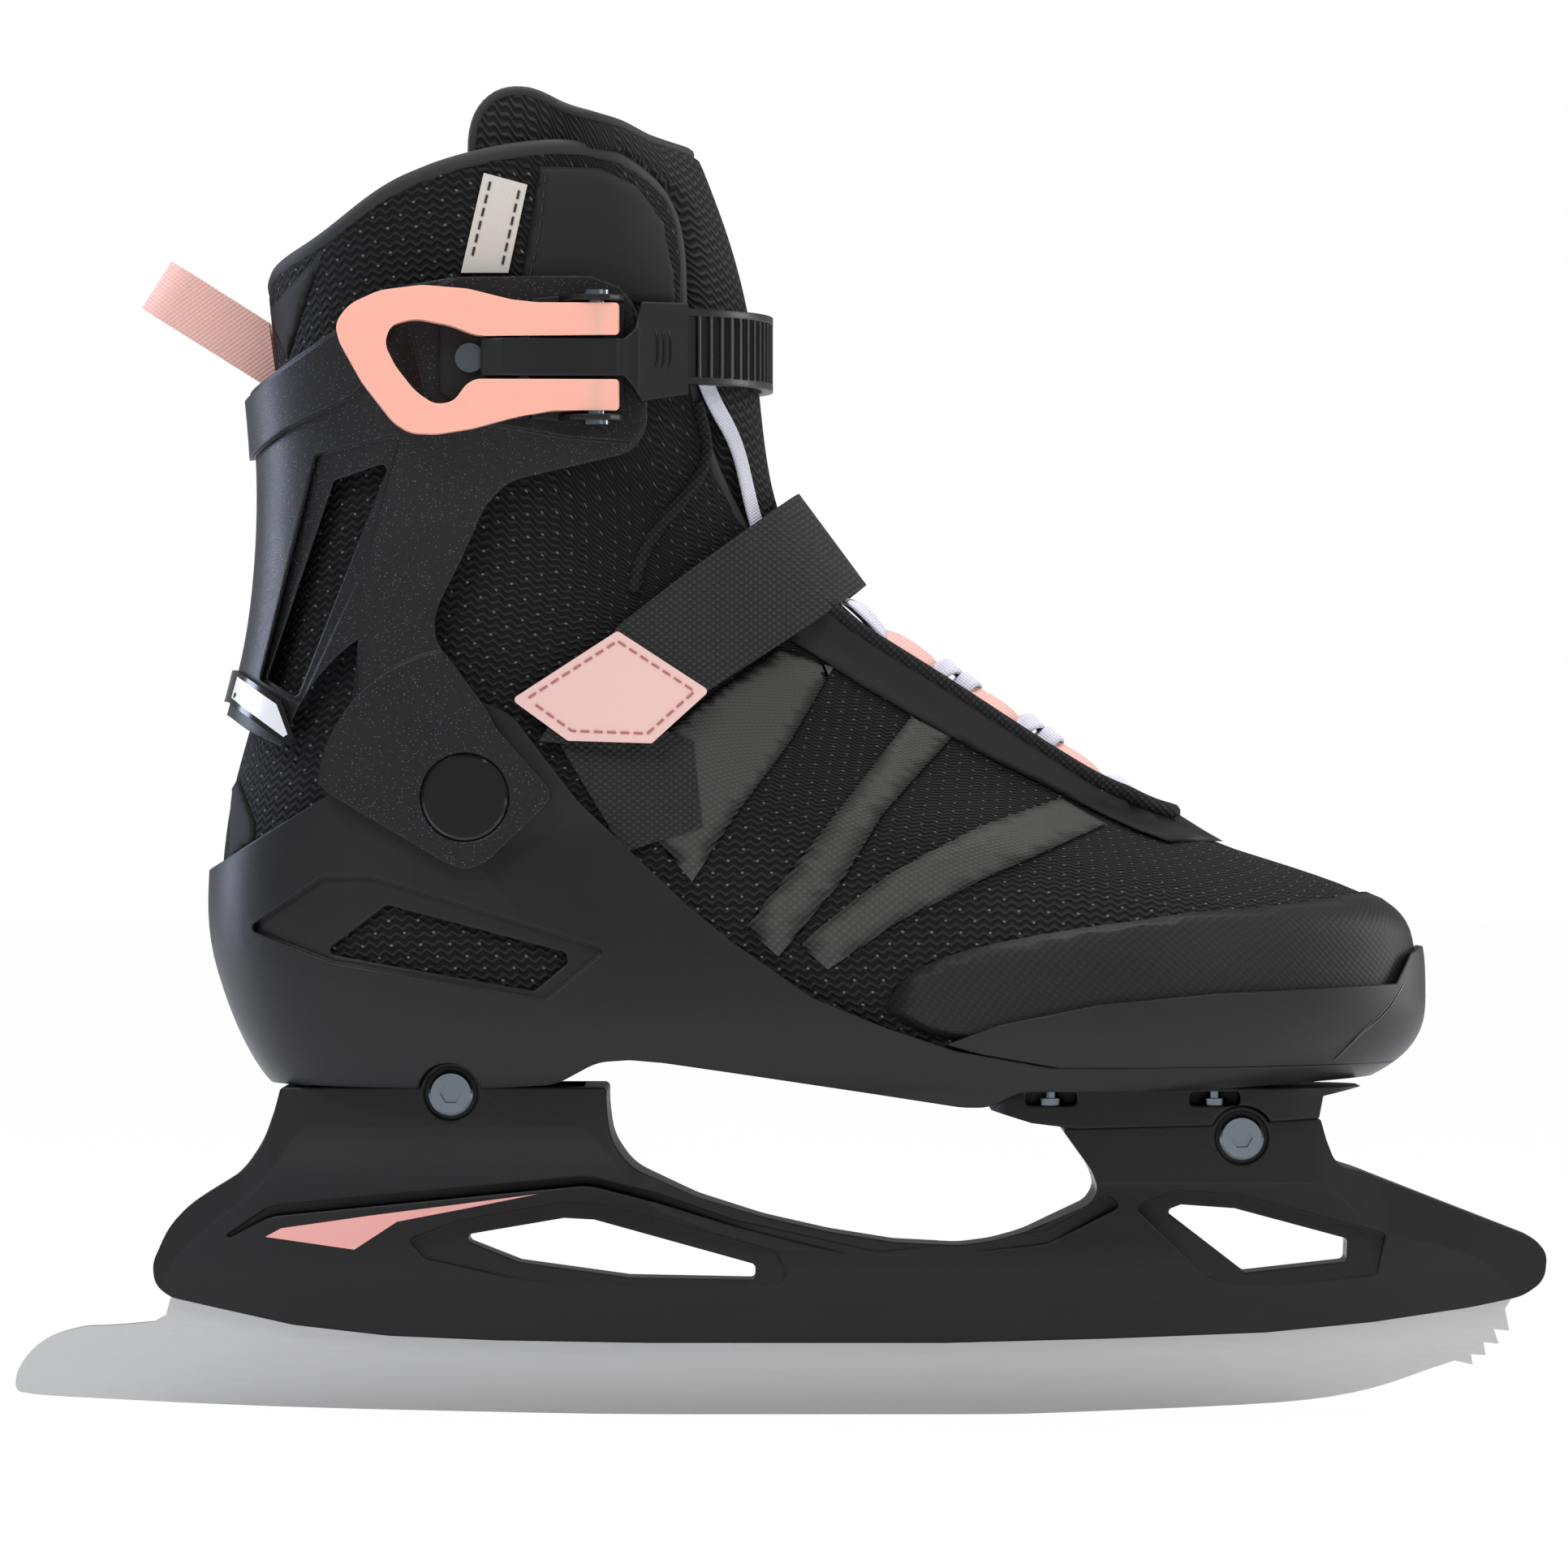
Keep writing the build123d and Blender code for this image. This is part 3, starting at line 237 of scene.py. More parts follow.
# Tinted acetal lets a little light in, which warms its edges.
tinted_acetal = principled("tinted_acetal", "#DA9F8F", 0.36, Subsurface_Weight=0.25,
                           Subsurface_Radius=(1.0, 0.4, 0.25), Subsurface_Scale=0.003)[0]
strap_nylon = moulded("strap_nylon", "#0F0F10", 0.38, 2.4, 0.02)
finish(moulded_polypropylene, "buckle_base")
finish(zinc_plated_steel, "buckle_rivet", "lever_pins", "strap_rivet")
finish(strap_nylon, "ankle_strap", "buckle_arm")
finish(polished_abs, "arm_pin")
finish(tinted_acetal, "buckle_lever")
lever_edge = nodes["buckle_lever"].modifiers.new("edge", "BEVEL")
lever_edge.width = LEVER_EDGE * MM
lever_edge.segments = 3
lever_edge.angle_limit = math.radians(50)

# ---------------------------------------------------------------- form of the boot
# The soft boot is sewn on a last. This is the surface of that last: level sections joined smoothly,
# which every soft piece is laid on. A place on it is a ring place u, from the heel round the outer
# side to the toe and back along the inner side, and a height z.
# Each row: height, heel x, heel side x and half width, waist x and half width, ball x, half widths to
# the outer and inner side, toe corner set-back and half width, toe x, toe y.
SECTIONS = [
    (68, -112, -92, 25, -15, 25, 78, 38, 36, 18, 24, 118, 6),
    (79, -121, -92, 29, -15, 29, 78, 43, 41, 18, 27, 131, 6),
    (84, -125, -92, 32, -15, 32, 78, 47, 45, 18, 31, 140, 6),
    (92, -129.3, -92, 34, -15, 34, 80, 49.5, 47.5, 19, 33, 146.2, 6),
    (102, -133.2, -92, 35.2, -15, 35, 82, 50, 48, 19, 33.5, 147.2, 6),
    (112, -135.8, -92, 35.8, -15, 35, 82, 49, 47, 19, 32.5, 146.4, 6),
    (119, -136.5, -92, 36, -15, 34.2, 80, 46.5, 44.5, 18, 30, 143, 5.5),
    (125, -136.5, -92, 36, -15, 33.2, 76, 43, 41, 17, 25.5, 133, 5),
    (131, -136.2, -92, 36, -15, 32, 66, 39.5, 37.5, 15, 22, 116, 4),
    (137, -135.6, -92, 36, -16, 31, 55, 36.5, 34.5, 12, 19, 97.5, 3),
    (145, -134.4, -92, 36, -20, 31, 42, 31.5, 30, 9, 16, 80, 2),
    (157, -131.5, -92, 36, -30, 31.5, 22, 27, 26, 7, 14.5, 60.5, 1),
    (172, -127.2, -91, 36, -40, 32.5, 3, 26, 25, 7, 14, 38, 0.5),
    (188, -123.6, -90, 36.2, -48, 33.5, -16, 26.5, 26, 7, 14.5, 15.5, 0),
    (205, -121.8, -88, 36.8, -55, 35.5, -28, 28.5, 28.5, 7, 16, 0, 0),
    (225, -121.4, -87, 38.6, -58, 38, -34, 31, 31, 8, 18, -7, 0),
    (250, -123.6, -87, 41, -60, 41, -36, 34, 34, 9, 20, -10, 0),
    (280, -126.5, -87, 43.5, -60, 44, -40, 37.5, 37.5, 9, 22, -16.6, 0),
    (312, -128, -87, 45, -62, 46, -44, 40, 40, 9, 24, -28.5, 0),
    (340, -129, -87, 46, -62, 47, -47, 42, 42, 9, 26, -36, 0),
]
SPANS = 12                   # spans round a section
PER = 20                     # places in a span
FULL = SPANS * PER           # places round a section
HALF = FULL // 2             # places from heel to toe on one side
LEVELS = np.arange(70.0, 330.0, 1.0)
HEEL_ROUND = 0.71            # how far along and across the heel's corner point lies
HEEL_FULL = 0.72


def cubic(at, values, want, loop=False):
    """Natural cubic spline through values given at the places at, read at want; loop closes it."""
    last = len(at) - 1
    gap = np.diff(at)
    a = np.zeros((last + 1, last + 1))
    b = np.zeros((last + 1, values.shape[1]))
    for i in range(1, last):
        a[i, i - 1:i + 2] = gap[i - 1], 2 * (gap[i - 1] + gap[i]), gap[i]
        b[i] = 6 * ((values[i + 1] - values[i]) / gap[i] - (values[i] - values[i - 1]) / gap[i - 1])
    if loop:
        a[0, 0], a[0, 1], a[0, last - 1] = 2 * (gap[0] + gap[-1]), gap[0], gap[-1]
        b[0] = 6 * ((values[1] - values[0]) / gap[0] - (values[0] - values[last - 1]) / gap[-1])
        a[last, 0], a[last, last] = 1, -1
    else:
        a[0, 0] = a[last, last] = 1
    bend = np.linalg.solve(a, b)
    i = np.clip(np.searchsorted(at, want) - 1, 0, last - 1)
    left, right, width = (at[i + 1] - want)[:, None], (want - at[i])[:, None], gap[i][:, None]
    curve = (bend[i] * left ** 3 + bend[i + 1] * right ** 3) / (6 * width)
    from_left = (values[i] / width - bend[i] * width / 6) * left
    return curve + from_left + (values[i + 1] / width - bend[i + 1] * width / 6) * right


def travelled(points):
    """Distance run along a line at each of its points."""
    return np.concatenate([[0], np.cumsum(np.linalg.norm(np.diff(points, axis=0), axis=1))])


def section_ring(row):
    """Points round one section, from the heel by the outer side to the toe and back."""
    _, heel, side, side_half, waist, waist_half, *front_part = row
    ball, ball_out, ball_in, corner, corner_half, toe, toe_y = front_part
    turn = side + HEEL_ROUND * (heel - side)
    full = HEEL_FULL * side_half
    outer = [(heel, 0), (turn, -full), (side, -side_half), (waist, -waist_half), (ball, -ball_out)]
    front = [(toe - corner, toe_y - corner_half), (toe, toe_y), (toe - corner, toe_y + corner_half)]
    inner = [(ball, ball_in), (waist, waist_half), (side, side_half), (turn, full), (heel, 0)]
    points = np.array(outer + front + inner, float)
    along = travelled(points)
    want = [np.linspace(along[i], along[i + 1], PER, endpoint=False) for i in range(SPANS)]
    return cubic(along, points, np.concatenate(want), loop=True)


rings = np.array([section_ring(row) for row in SECTIONS])
heights = np.array([row[0] for row in SECTIONS], float)
FORM = cubic(heights, rings.reshape(len(SECTIONS), -1), LEVELS).reshape(len(LEVELS), FULL, 2)
FORM = np.concatenate([FORM, np.repeat(LEVELS[:, None, None], FULL, 1)], 2)
NORMAL = np.cross(np.roll(FORM, -1, 1) - np.roll(FORM, 1, 1), np.gradient(FORM, axis=0))
NORMAL /= np.linalg.norm(NORMAL, axis=2)[..., None]
ARC_U = np.linalg.norm(np.diff(FORM, axis=1), axis=2)
ARC_U = np.concatenate([np.zeros((len(LEVELS), 1)), np.cumsum(ARC_U, 1)], 1)
ARC_Z = np.linalg.norm(np.diff(FORM, axis=0), axis=2)
ARC_Z = np.concatenate([np.zeros((1, FULL)), np.cumsum(ARC_Z, 0)], 0)


def level_row(z):
    """Row of LEVELS at height z, as a number with a fraction."""
    return np.clip(z - LEVELS[0], 0, len(LEVELS) - 1.001)


def on_form(u, z, lift=0.0):
    """Points of the form at ring places u and heights z, lifted off it."""
    u, z = np.atleast_1d(u).astype(float), np.atleast_1d(z).astype(float)
    row = level_row(z)
    i, up = row.astype(int), (row % 1)[:, None]
    j, on = np.floor(u).astype(int) % FULL, (u % 1)[:, None]
    k = (j + 1) % FULL
    found = []
    for grid in (FORM, NORMAL):
        low = grid[i, j] * (1 - on) + grid[i, k] * on
        high = grid[i + 1, j] * (1 - on) + grid[i + 1, k] * on
        found.append(low * (1 - up) + high * up)
    return found[0] + found[1] * np.reshape(lift, (-1, 1))


def cloth_place(u, z):
    """Distance round the boot and up it, which the weave of the cloth follows."""
    row = level_row(z)
    i, up = row.astype(int), row % 1
    j = np.clip(np.floor(u).astype(int), 0, HALF - 1)
    on = u - j
    found = []
    for grid in (ARC_U, ARC_Z):
        low = grid[i, j] * (1 - on) + grid[i, j + 1] * on
        high = grid[i + 1, j] * (1 - on) + grid[i + 1, j + 1] * on
        found.append(low * (1 - up) + high * up)
    return np.stack(found, 1)


def place_u(x, z):
    """Ring place on the outer side of the point at x, z in a side view."""
    row = float(level_row(z))
    i, up = int(row), row % 1
    edge = FORM[i, :HALF + 1, 0] * (1 - up) + FORM[i + 1, :HALF + 1, 0] * up
    return float(np.interp(x, edge, np.arange(HALF + 1)))


# ---------------------------------------------------------------- soft boot
# One padded boot of knitted polyester, sewn to the board below. The real boot bends at the ankle,
# between the shell and the cuff; this mesh is one fixed piece. Its outlines are drawn in a flat layout,
# unrolled as a pattern cutter does.
UNROLL = 1.7                 # millimetres that one ring place stands for in the flat layout
MID = HALF * UNROLL          # the toe line, where the outer and inner halves meet
BOOT, CUFF = "boot", "ankle_cuff"
SOLE_Z, HEEL_SEAM_Z, COLLAR_BACK_Z = 84, 90, 266.6


def curve_points(points, step):
    """Points every step along straight runs."""
    out = []
    for a, b in zip(points[:-1], points[1:]):
        a, b = np.array(a, float), np.array(b, float)
        n = max(1, int(np.linalg.norm(b - a) / step))
        out += [tuple(a + (b - a) * k / n) for k in range(n)]
    return out + [tuple(points[-1])]


def soft_path(points, step=2.0):
    """Points every step on a smooth line through points."""
    points = np.array(points, float)
    along = travelled(points)
    count = max(3, int(along[-1] / step))
    return [tuple(p) for p in cubic(along, points, np.linspace(0, along[-1] - 1e-6, count))]


def side_flat(points):
    """Side-view points in the flat layout."""
    return [(place_u(x, z) * UNROLL, z) for x, z in points]


def ring_flat(points):
    """Points given by ring place and height in the flat layout."""
    return [(u * UNROLL, z) for u, z in points]


def flat_layout(outline, step):
    """Triangles about step wide inside a flat outline, and how far each point is from its edge. The
    heel and toe lines don't count as edge, because the two halves are joined there."""
    edge = np.array(outline, float)
    low, high = edge.min(0), edge.max(0)
    count = len(edge)
    grid = []
    for r, y in enumerate(np.arange(low[1] + step / 2, high[1], step * 0.87)):
        for x in np.arange(low[0] + step * (0.5 if r % 2 else 0.25), high[0], step):
            grid.append((x, y))
    grid = np.array(grid) if grid else np.zeros((0, 2))
    after = np.roll(edge, -1, 0)
    seam = [max(p[0], q[0]) < 0.01 or min(p[0], q[0]) > MID - 0.01 for p, q in zip(edge, after)]
    to_rim, to_edge = np.full(len(grid), 1e9), np.full(len(grid), 1e9)
    inside = np.zeros(len(grid), bool)
    for p, q, at_seam in zip(edge, after, seam):
        d = q - p
        t = np.clip(((grid - p) @ d) / max(d @ d, 1e-9), 0, 1)
        far = np.linalg.norm(grid - (p + t[:, None] * d), axis=1)
        to_edge = np.minimum(to_edge, far)
        if not at_seam:
            to_rim = np.minimum(to_rim, far)
        spans = (p[1] > grid[:, 1]) != (q[1] > grid[:, 1])
        inside ^= spans & (grid[:, 0] < p[0] + (grid[:, 1] - p[1]) * d[0] / (d[1] or 1e-9))
    keep = inside & (to_edge > step * 0.45)
    rim = edge[[i for i in range(count) if not (seam[i] or seam[i - 1])]]
    edge_gap = np.zeros(count)
    for i in range(count):
        if seam[i] and seam[i - 1]:
            edge_gap[i] = min([np.linalg.norm(edge[i] - q) for q in rim] + [99])
    gaps = np.concatenate([edge_gap, to_rim[keep]])
    spots = [Vector(p) for p in np.concatenate([edge, grid[keep]])]
    verts, _, faces, origins, _, _ = delaunay_2d_cdt(spots, [], [list(range(count))], 1, 1e-6)
    gaps = np.array([gaps[origin[0]] if origin else 0.0 for origin in origins])
    return np.array([list(v) for v in verts]), [tuple(f) for f in faces], gaps


def mesh_object(name, verts, faces, material, cloth=None):
    """Smooth mesh from millimetre points; cloth is each point's place for the weave."""
    data = bpy.data.meshes.new(name)
    data.from_pydata([tuple(v) for v in np.asarray(verts) * MM], [], faces)
    if cloth is not None:
        layer = data.uv_layers.new(name="cloth")
        spot = np.zeros(len(data.loops), int)
        data.loops.foreach_get("vertex_index", spot)
        layer.data.foreach_set("uv", np.asarray(cloth)[spot].ravel())
    data.materials.append(material)
    made = bpy.data.objects.new(name, data)
    bpy.context.scene.collection.objects.link(made)
    work = bmesh.new()
    work.from_mesh(data)
    bmesh.ops.remove_doubles(work, verts=work.verts, dist=0.02 * MM)
    bmesh.ops.recalc_face_normals(work, faces=work.faces)
    work.to_mesh(data)
    work.free()
    data.polygons.foreach_set("use_smooth", [True] * len(data.polygons))
    return made


def cushion(name, outline, material, base, rise, soft, under, step, lift_at):
    """Padded piece inside a flat outline, laid on both sides of the form. It rises from base by rise
    within soft of its edge, and its back swells under it; lift_at raises the whole piece."""
    flat, faces, gaps = flat_layout(outline, step)
    u, z = flat[:, 0] / UNROLL, flat[:, 1]
    swell = np.sqrt(np.clip(1 - (1 - np.clip(gaps / soft, 0, 1)) ** 2, 0, 1))
    extra = lift_at(u, z)
    verts, tris, cloth = [], [], []
    for side in (1, -1):
        ring = u if side > 0 else FULL - u
        for lift, flip in ((base + rise * swell + extra, side < 0), (base - under * swell + extra, side > 0)):
            start = len(verts)
            verts += list(on_form(ring, z, lift))
            cloth += list(cloth_place(u, z))
            tris += [tuple(start + k for k in (reversed(f) if flip else f)) for f in faces]
    return mesh_object(name, verts, tris, material, cloth)


def woven(name, colour, rough, across, along, depth, light, amount=0.6, knit=False, glint=0.0, laid=True):
    """Cloth with threads across and along it at those spacings, standing up by depth, with a painted
    highlight on top: the thread tops are mixed towards the paler colour light. A knit has wavy rows in
    place of crossing threads, and glint is a lattice of painted glints, bright grey specks. A cloth that
    isn't laid on the form takes its threads from X and Z."""
    made, tree, shader = principled(name, colour, rough, Specular_IOR_Level=0.15)
    if laid:
        place = node(tree, "ShaderNodeUVMap", uv_map="cloth").outputs[0]
    else:
        place = node(tree, "ShaderNodeTexCoord").outputs["Object"]
        place = node(tree, "ShaderNodeVectorMath", {0: place, "Scale": 1 / MM}, operation="SCALE").outputs[0]
    axes = node(tree, "ShaderNodeSeparateXYZ", {0: place}).outputs
    wefts, warps = axes[0], axes[1 if laid else 2]

    def wave(socket, pitch, shift=None):
        turned = {0: socket, 1: 2 * math.pi / pitch}
        turned = node(tree, "ShaderNodeMath", turned, operation="MULTIPLY").outputs[0]
        if shift:
            turned = node(tree, "ShaderNodeMath", {0: turned, 1: shift}, operation="ADD").outputs[0]
        return node(tree, "ShaderNodeMath", {0: turned}, operation="SINE").outputs[0]

    first = wave(wefts, across)
    if knit:
        sway = node(tree, "ShaderNodeMath", {0: first, 1: 1.5}, operation="MULTIPLY").outputs[0]
        threads = wave(warps, along, sway)
    else:
        crossed = {0: first, 1: wave(warps, along)}
        threads = node(tree, "ShaderNodeMath", crossed, operation="MULTIPLY").outputs[0]
    height = node(tree, "ShaderNodeMapRange", {"Value": threads, "From Min": -1.0, "From Max": 1.0})
    height = height.outputs[0]
    relief = node(tree, "ShaderNodeBump", {"Height": height, "Distance": depth * MM, "Strength": 1.0})
    tree.links.new(relief.outputs["Normal"], shader.inputs["Normal"])
    # Painted highlight: the tops of the threads are mixed towards the paler colour light, by up to amount.
    painted_tops = {"Value": height, "From Min": 0.45, "From Max": 1.0, "To Max": amount}
    painted_tops = node(tree, "ShaderNodeMapRange", painted_tops).outputs[0]
    tints = {"Factor": painted_tops, 6: linear(colour), 7: linear(light)}
    tone = node(tree, "ShaderNodeMix", tints, data_type="RGBA").outputs[2]
    # Painted glints: a lattice of bright grey specks mixed into the base colour.
    if glint:
        lattice = {0: wave(wefts, 6.9), 1: wave(warps, 5.7)}
        painted_glints = {"Value": node(tree, "ShaderNodeMath", lattice, operation="MULTIPLY").outputs[0]}
        painted_glints = node(tree, "ShaderNodeMapRange", painted_glints | {"From Min": 0.93, "From Max": 0.985, "To Max": glint})
        tints = {"Factor": painted_glints.outputs[0], 6: tone, 7: linear("#8C8C90")}
        tone = node(tree, "ShaderNodeMix", tints, data_type="RGBA").outputs[2]
    tree.links.new(tone, shader.inputs["Base Color"])
    return made


# Matt black knit whose ribs catch a little light, which is painted as paler rib tops and a lattice of
# painted glints. Its rows are really 1 mm apart and are drawn 2 mm apart, so that they show.
knitted_polyester = woven("knitted_polyester", "#09090A", 0.8, 3.3, 2.0, 0.4, "#29292B", knit=True, glint=0.4)

RIM = side_flat([
    (-109.4, 278.2), (-93.4, 288.8), (-76.5, 294.8), (-61.7, 297.5), (-45.8, 297.3), (-35.2, 293),
    (-28.8, 285.5), (-26.7, 277.2), (-26.1, 262.3), (-23.2, 239.9), (-20.0, 228.0), (-14.0, 215.0),
    (-6.5, 203.0),
])
THROAT = ring_flat([
    (98, 188), (99, 172), (99.5, 157), (101.5, 148), (107, 143.0), (113, 141.2), (HALF, 140.6),
])
rim_line = soft_path([(0, COLLAR_BACK_Z), (6 * UNROLL, 269.2)] + RIM + THROAT)
sole_line = side_flat([
    (130, 84), (100, 84), (70, 84), (40, 84), (0, 86.5), (-20, 88.5), (-60, 90), (-100, 90), (-120, 90),
])
toe_down = curve_points([rim_line[-1], (MID, SOLE_Z)], 2.0)[1:]
sole_back = curve_points([(MID, SOLE_Z)] + sole_line + [(0, HEEL_SEAM_Z)], 2.0)[1:]
heel_up = curve_points([(0, HEEL_SEAM_Z), (0, COLLAR_BACK_Z)], 2.0)[1:-1]
edge_z = np.array([p[1] for p in rim_line[::-1]])
edge_u = np.array([p[0] for p in rim_line[::-1]]) / UNROLL
rising = np.maximum.accumulate(edge_z) <= edge_z + 1e-9
edge_z, edge_u = edge_z[rising], edge_u[rising]


def eyestay_rise(u, z):
    """The lacing edge stands up above the form along the throat."""
    gap = (np.interp(z, edge_z, edge_u) - u) * 2.2
    fade = np.clip((z - 136) / 8, 0, 1) * np.clip((212 - z) / 24, 0, 1)
    return 4.2 * np.exp(-(np.clip(gap, 0, 99) / 9.0) ** 2) * fade * np.clip((u - 60) / 20, 0, 1)


boot_outline = toe_down + sole_back + heel_up + rim_line[:-1]
boot = cushion("soft_boot", boot_outline, knitted_polyester, base=-2.1, rise=2.1, soft=2.4,
               under=2.5, step=1.9, lift_at=eyestay_rise)
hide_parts("boot_vamp", "boot_quarter_outer", "boot_quarter_inner", "boot_collar_outer",
            "boot_collar_inner")
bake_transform(boot)

# ---------------------------------------------------------------- tongue
# A thick padded tongue of open spacer mesh, sewn in at the toe end and lying inside the boot walls.
# It stands 14 mm above the collar, and its upper edge is piped.
spacer_mesh = woven("spacer_mesh", "#121213", 0.85, 3.4, 2.4, 0.45, "#3A3A3C", knit=True)
TONGUE_TOP = [
    (-40, 304.2), (-52.2, 307.3), (-62.6, 311.2), (-69.6, 310.2), (-74.4, 305.0), (-75.5, 294.8), (-72, 280),
    (-62, 257), (-52, 236), (-42, 216),
]
TONGUE_LOW = [(90, 188), (88, 172), (89, 157), (93, 149), (103, 144), (HALF, 142)]
tongue_edge = ring_flat([(HALF, 300.2), (110, 300.8)]) + side_flat(TONGUE_TOP) + ring_flat(TONGUE_LOW)
tongue_edge = soft_path(tongue_edge)
tongue_outline = tongue_edge + curve_points([(MID, 142), (MID, 300.2)], 2.0)[1:-1]


def tongue_lift(u, z):
    """The tongue lies inside the boot walls and comes forward in the open throat."""
    open_part = np.clip((u - np.interp(z, edge_z, edge_u) + 1.0) / 9.0, 0, 1)
    return -6.6 + 5.6 * open_part ** 2 * (3 - 2 * open_part)


tongue = cushion("tongue", tongue_outline, spacer_mesh, base=0.0, rise=1.6, soft=5.0, under=6.0,
                 step=1.9, lift_at=tongue_lift)
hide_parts("tongue_lower", "tongue_upper")
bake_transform(tongue)

# ---------------------------------------------------------------- piping and bindings
# Raw edges are bound: smooth tape round the collar and the tongue's lip, ribbed tape along the
# throat and down the quarter seam. Each is folded over the edge and sewn, so it shows as a bead.
SIDES = ((1, "outer"), (-1, "inner"))
folded_tape = principled("folded_tape", "#101011", 0.7)[0]
ribbed_tape = woven("ribbed_tape", "#0E0E0F", 0.75, 1.7, 1.7, 0.3, "#2C2C2E", 0.7, laid=False)


def tube(name, path, radius, material):
    """Bead or thread along millimetre points."""
    data = bpy.data.curves.new(name, "CURVE")
    data.dimensions = "3D"
    line = data.splines.new("POLY")
    line.points.add(len(path) - 1)
    for point, at in zip(line.points, path):
        point.co = (*[c * MM for c in at], 1)
    data.bevel_depth = radius * MM
    data.bevel_resolution = 3
    data.use_fill_caps = True
    curve = bpy.data.objects.new(name, data)
    bpy.context.scene.collection.objects.link(curve)
    bpy.context.view_layer.update()
    done = bpy.data.meshes.new_from_object(curve.evaluated_get(bpy.context.evaluated_depsgraph_get()))
    bpy.data.objects.remove(curve)
    done.materials.clear()
    done.materials.append(material)
    done.polygons.foreach_set("use_smooth", [True] * len(done.polygons))
    made = bpy.data.objects.new(name, done)
    bpy.context.scene.collection.objects.link(made)
    return made


def flat_path(points, lift, side=1):
    """Flat-layout points laid on one side of the boot."""
    u = np.array([p[0] for p in points]) / UNROLL
    z = np.array([p[1] for p in points])
    return on_form(u if side > 0 else FULL - u, z, lift + eyestay_rise(u, z))


def bead(name, path, radius, material):
    """A bound edge laid along the boot."""
    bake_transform(tube(name, path, radius, material))


lip = [p for p in tongue_edge if p[1] > 294 and p[0] < MID - 1]
lip_u = np.array([p[0] for p in lip]) / UNROLL
lip_z = np.array([p[1] for p in lip])
for side, tag in SIDES:
    ring = lip_u if side > 0 else FULL - lip_u
    bead("tongue_piping_" + tag, on_form(ring, lip_z, tongue_lift(lip_u, lip_z) - 0.2), 1.3, folded_tape)

throat = next(i for i, p in enumerate(rim_line) if p[1] < 205 and p[0] > 90 * UNROLL)
QUARTER = [(-23.2, 239.9), (-21.1, 229.6), (-24.9, 219.2), (-31.7, 210.7), (-36.1, 202.8), (-37.9, 195)]
quarter_line = soft_path(side_flat(QUARTER))
for side, tag in SIDES:
    bead("collar_binding_" + tag, flat_path(rim_line[:throat], -2.2, side), 2.3, folded_tape)
    bead("throat_binding_" + tag, flat_path(rim_line[throat - 1:], 0.6, side), 2.0, ribbed_tape)
    bead("quarter_seam_" + tag, flat_path(quarter_line, -0.2, side), 1.7, ribbed_tape)

# ---------------------------------------------------------------- toe overlay, eyestay and stripes
# Thin polyurethane film welded over the knit: a toe guard, the lacing edge and three stripes on the
# vamp. The knit prints through the film, so each has a soft weave of its own tone.
toe_film = woven("toe_film", "#1B1B1C", 0.5, 2.2, 1.9, 0.06, "#2A2A2B", 0.5)
stripe_film = woven("stripe_film", "#353534", 0.6, 2.3, 1.9, 0.12, "#4C4C4A", 0.5)
eyestay_film = woven("eyestay_film", "#19191A", 0.5, 1.2, 1.2, 0.02, "#202021", 0.4)
TOE_TOP = [
    (20.9, 97.4), (24.5, 103.8), (33.6, 109.2), (52, 113.9), (79.3, 117.9), (106.7, 120.6), (128, 122.8),
]
TOE_LOW = [(140, 86), (110, 86), (80, 87), (50, 88.5), (30, 92)]
EYESTAY = [(88, 135.6), (80, 138.5), (66, 145), (50, 153), (32, 163), (15, 173), (-2, 184)]
STRIPES = [
    [(-4.4, 181.7), (8.7, 177.1), (-1.9, 158.9), (-13.5, 143.4), (-24.2, 127), (-36.7, 141.5), (-41.6, 154.1),
     (-20.3, 170.5)],
    [(27.1, 165.7), (36.7, 160.8), (20.3, 142.5), (11.6, 128), (-3.9, 109.6), (-11.6, 116.4), (-1, 129.9),
     (9.7, 143.4)],
    [(61.9, 146.3), (72.9, 140.1), (44.5, 128), (25.1, 118.3), (7.7, 106.7), (1, 112.5), (15.5, 124.1),
     (25.1, 130.9), (42.5, 139.6)],
]


def seen_outline(points):
    """Side-view outline in the flat layout."""
    return side_flat(curve_points(points + [points[0]], 2.0)[:-1])


def overlay(name, outline, material, base, rise, body=BOOT, soft=1.6):
    """Film or patch on both sides of the boot."""
    made = cushion(name, outline, material, base, rise, soft, under=0.2, step=2.0, lift_at=eyestay_rise)
    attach(made, body)
    return made


toe_outline = soft_path(side_flat(TOE_TOP) + [(MID, 123.6)])
toe_outline += curve_points([(MID, 123.6), (MID, 86)], 2.0)[1:] + curve_points(side_flat(TOE_LOW), 2.0)
overlay("toe_overlay", toe_outline, toe_film, 0.8, 0.4)
eyestay_outline = [p for p in rim_line if p[1] < 196 and p[0] > 92 * UNROLL]
eyestay_outline += curve_points([(MID, 140.6), (MID, 135.5)], 1.5)[1:] + side_flat(curve_points(EYESTAY, 2.0))
overlay("eyestay", eyestay_outline, eyestay_film, 0.9, 0.3)
for number, stripe in enumerate(STRIPES):
    overlay("vamp_stripe_%d" % number, seen_outline(stripe), stripe_film, 0.7, 0.15)

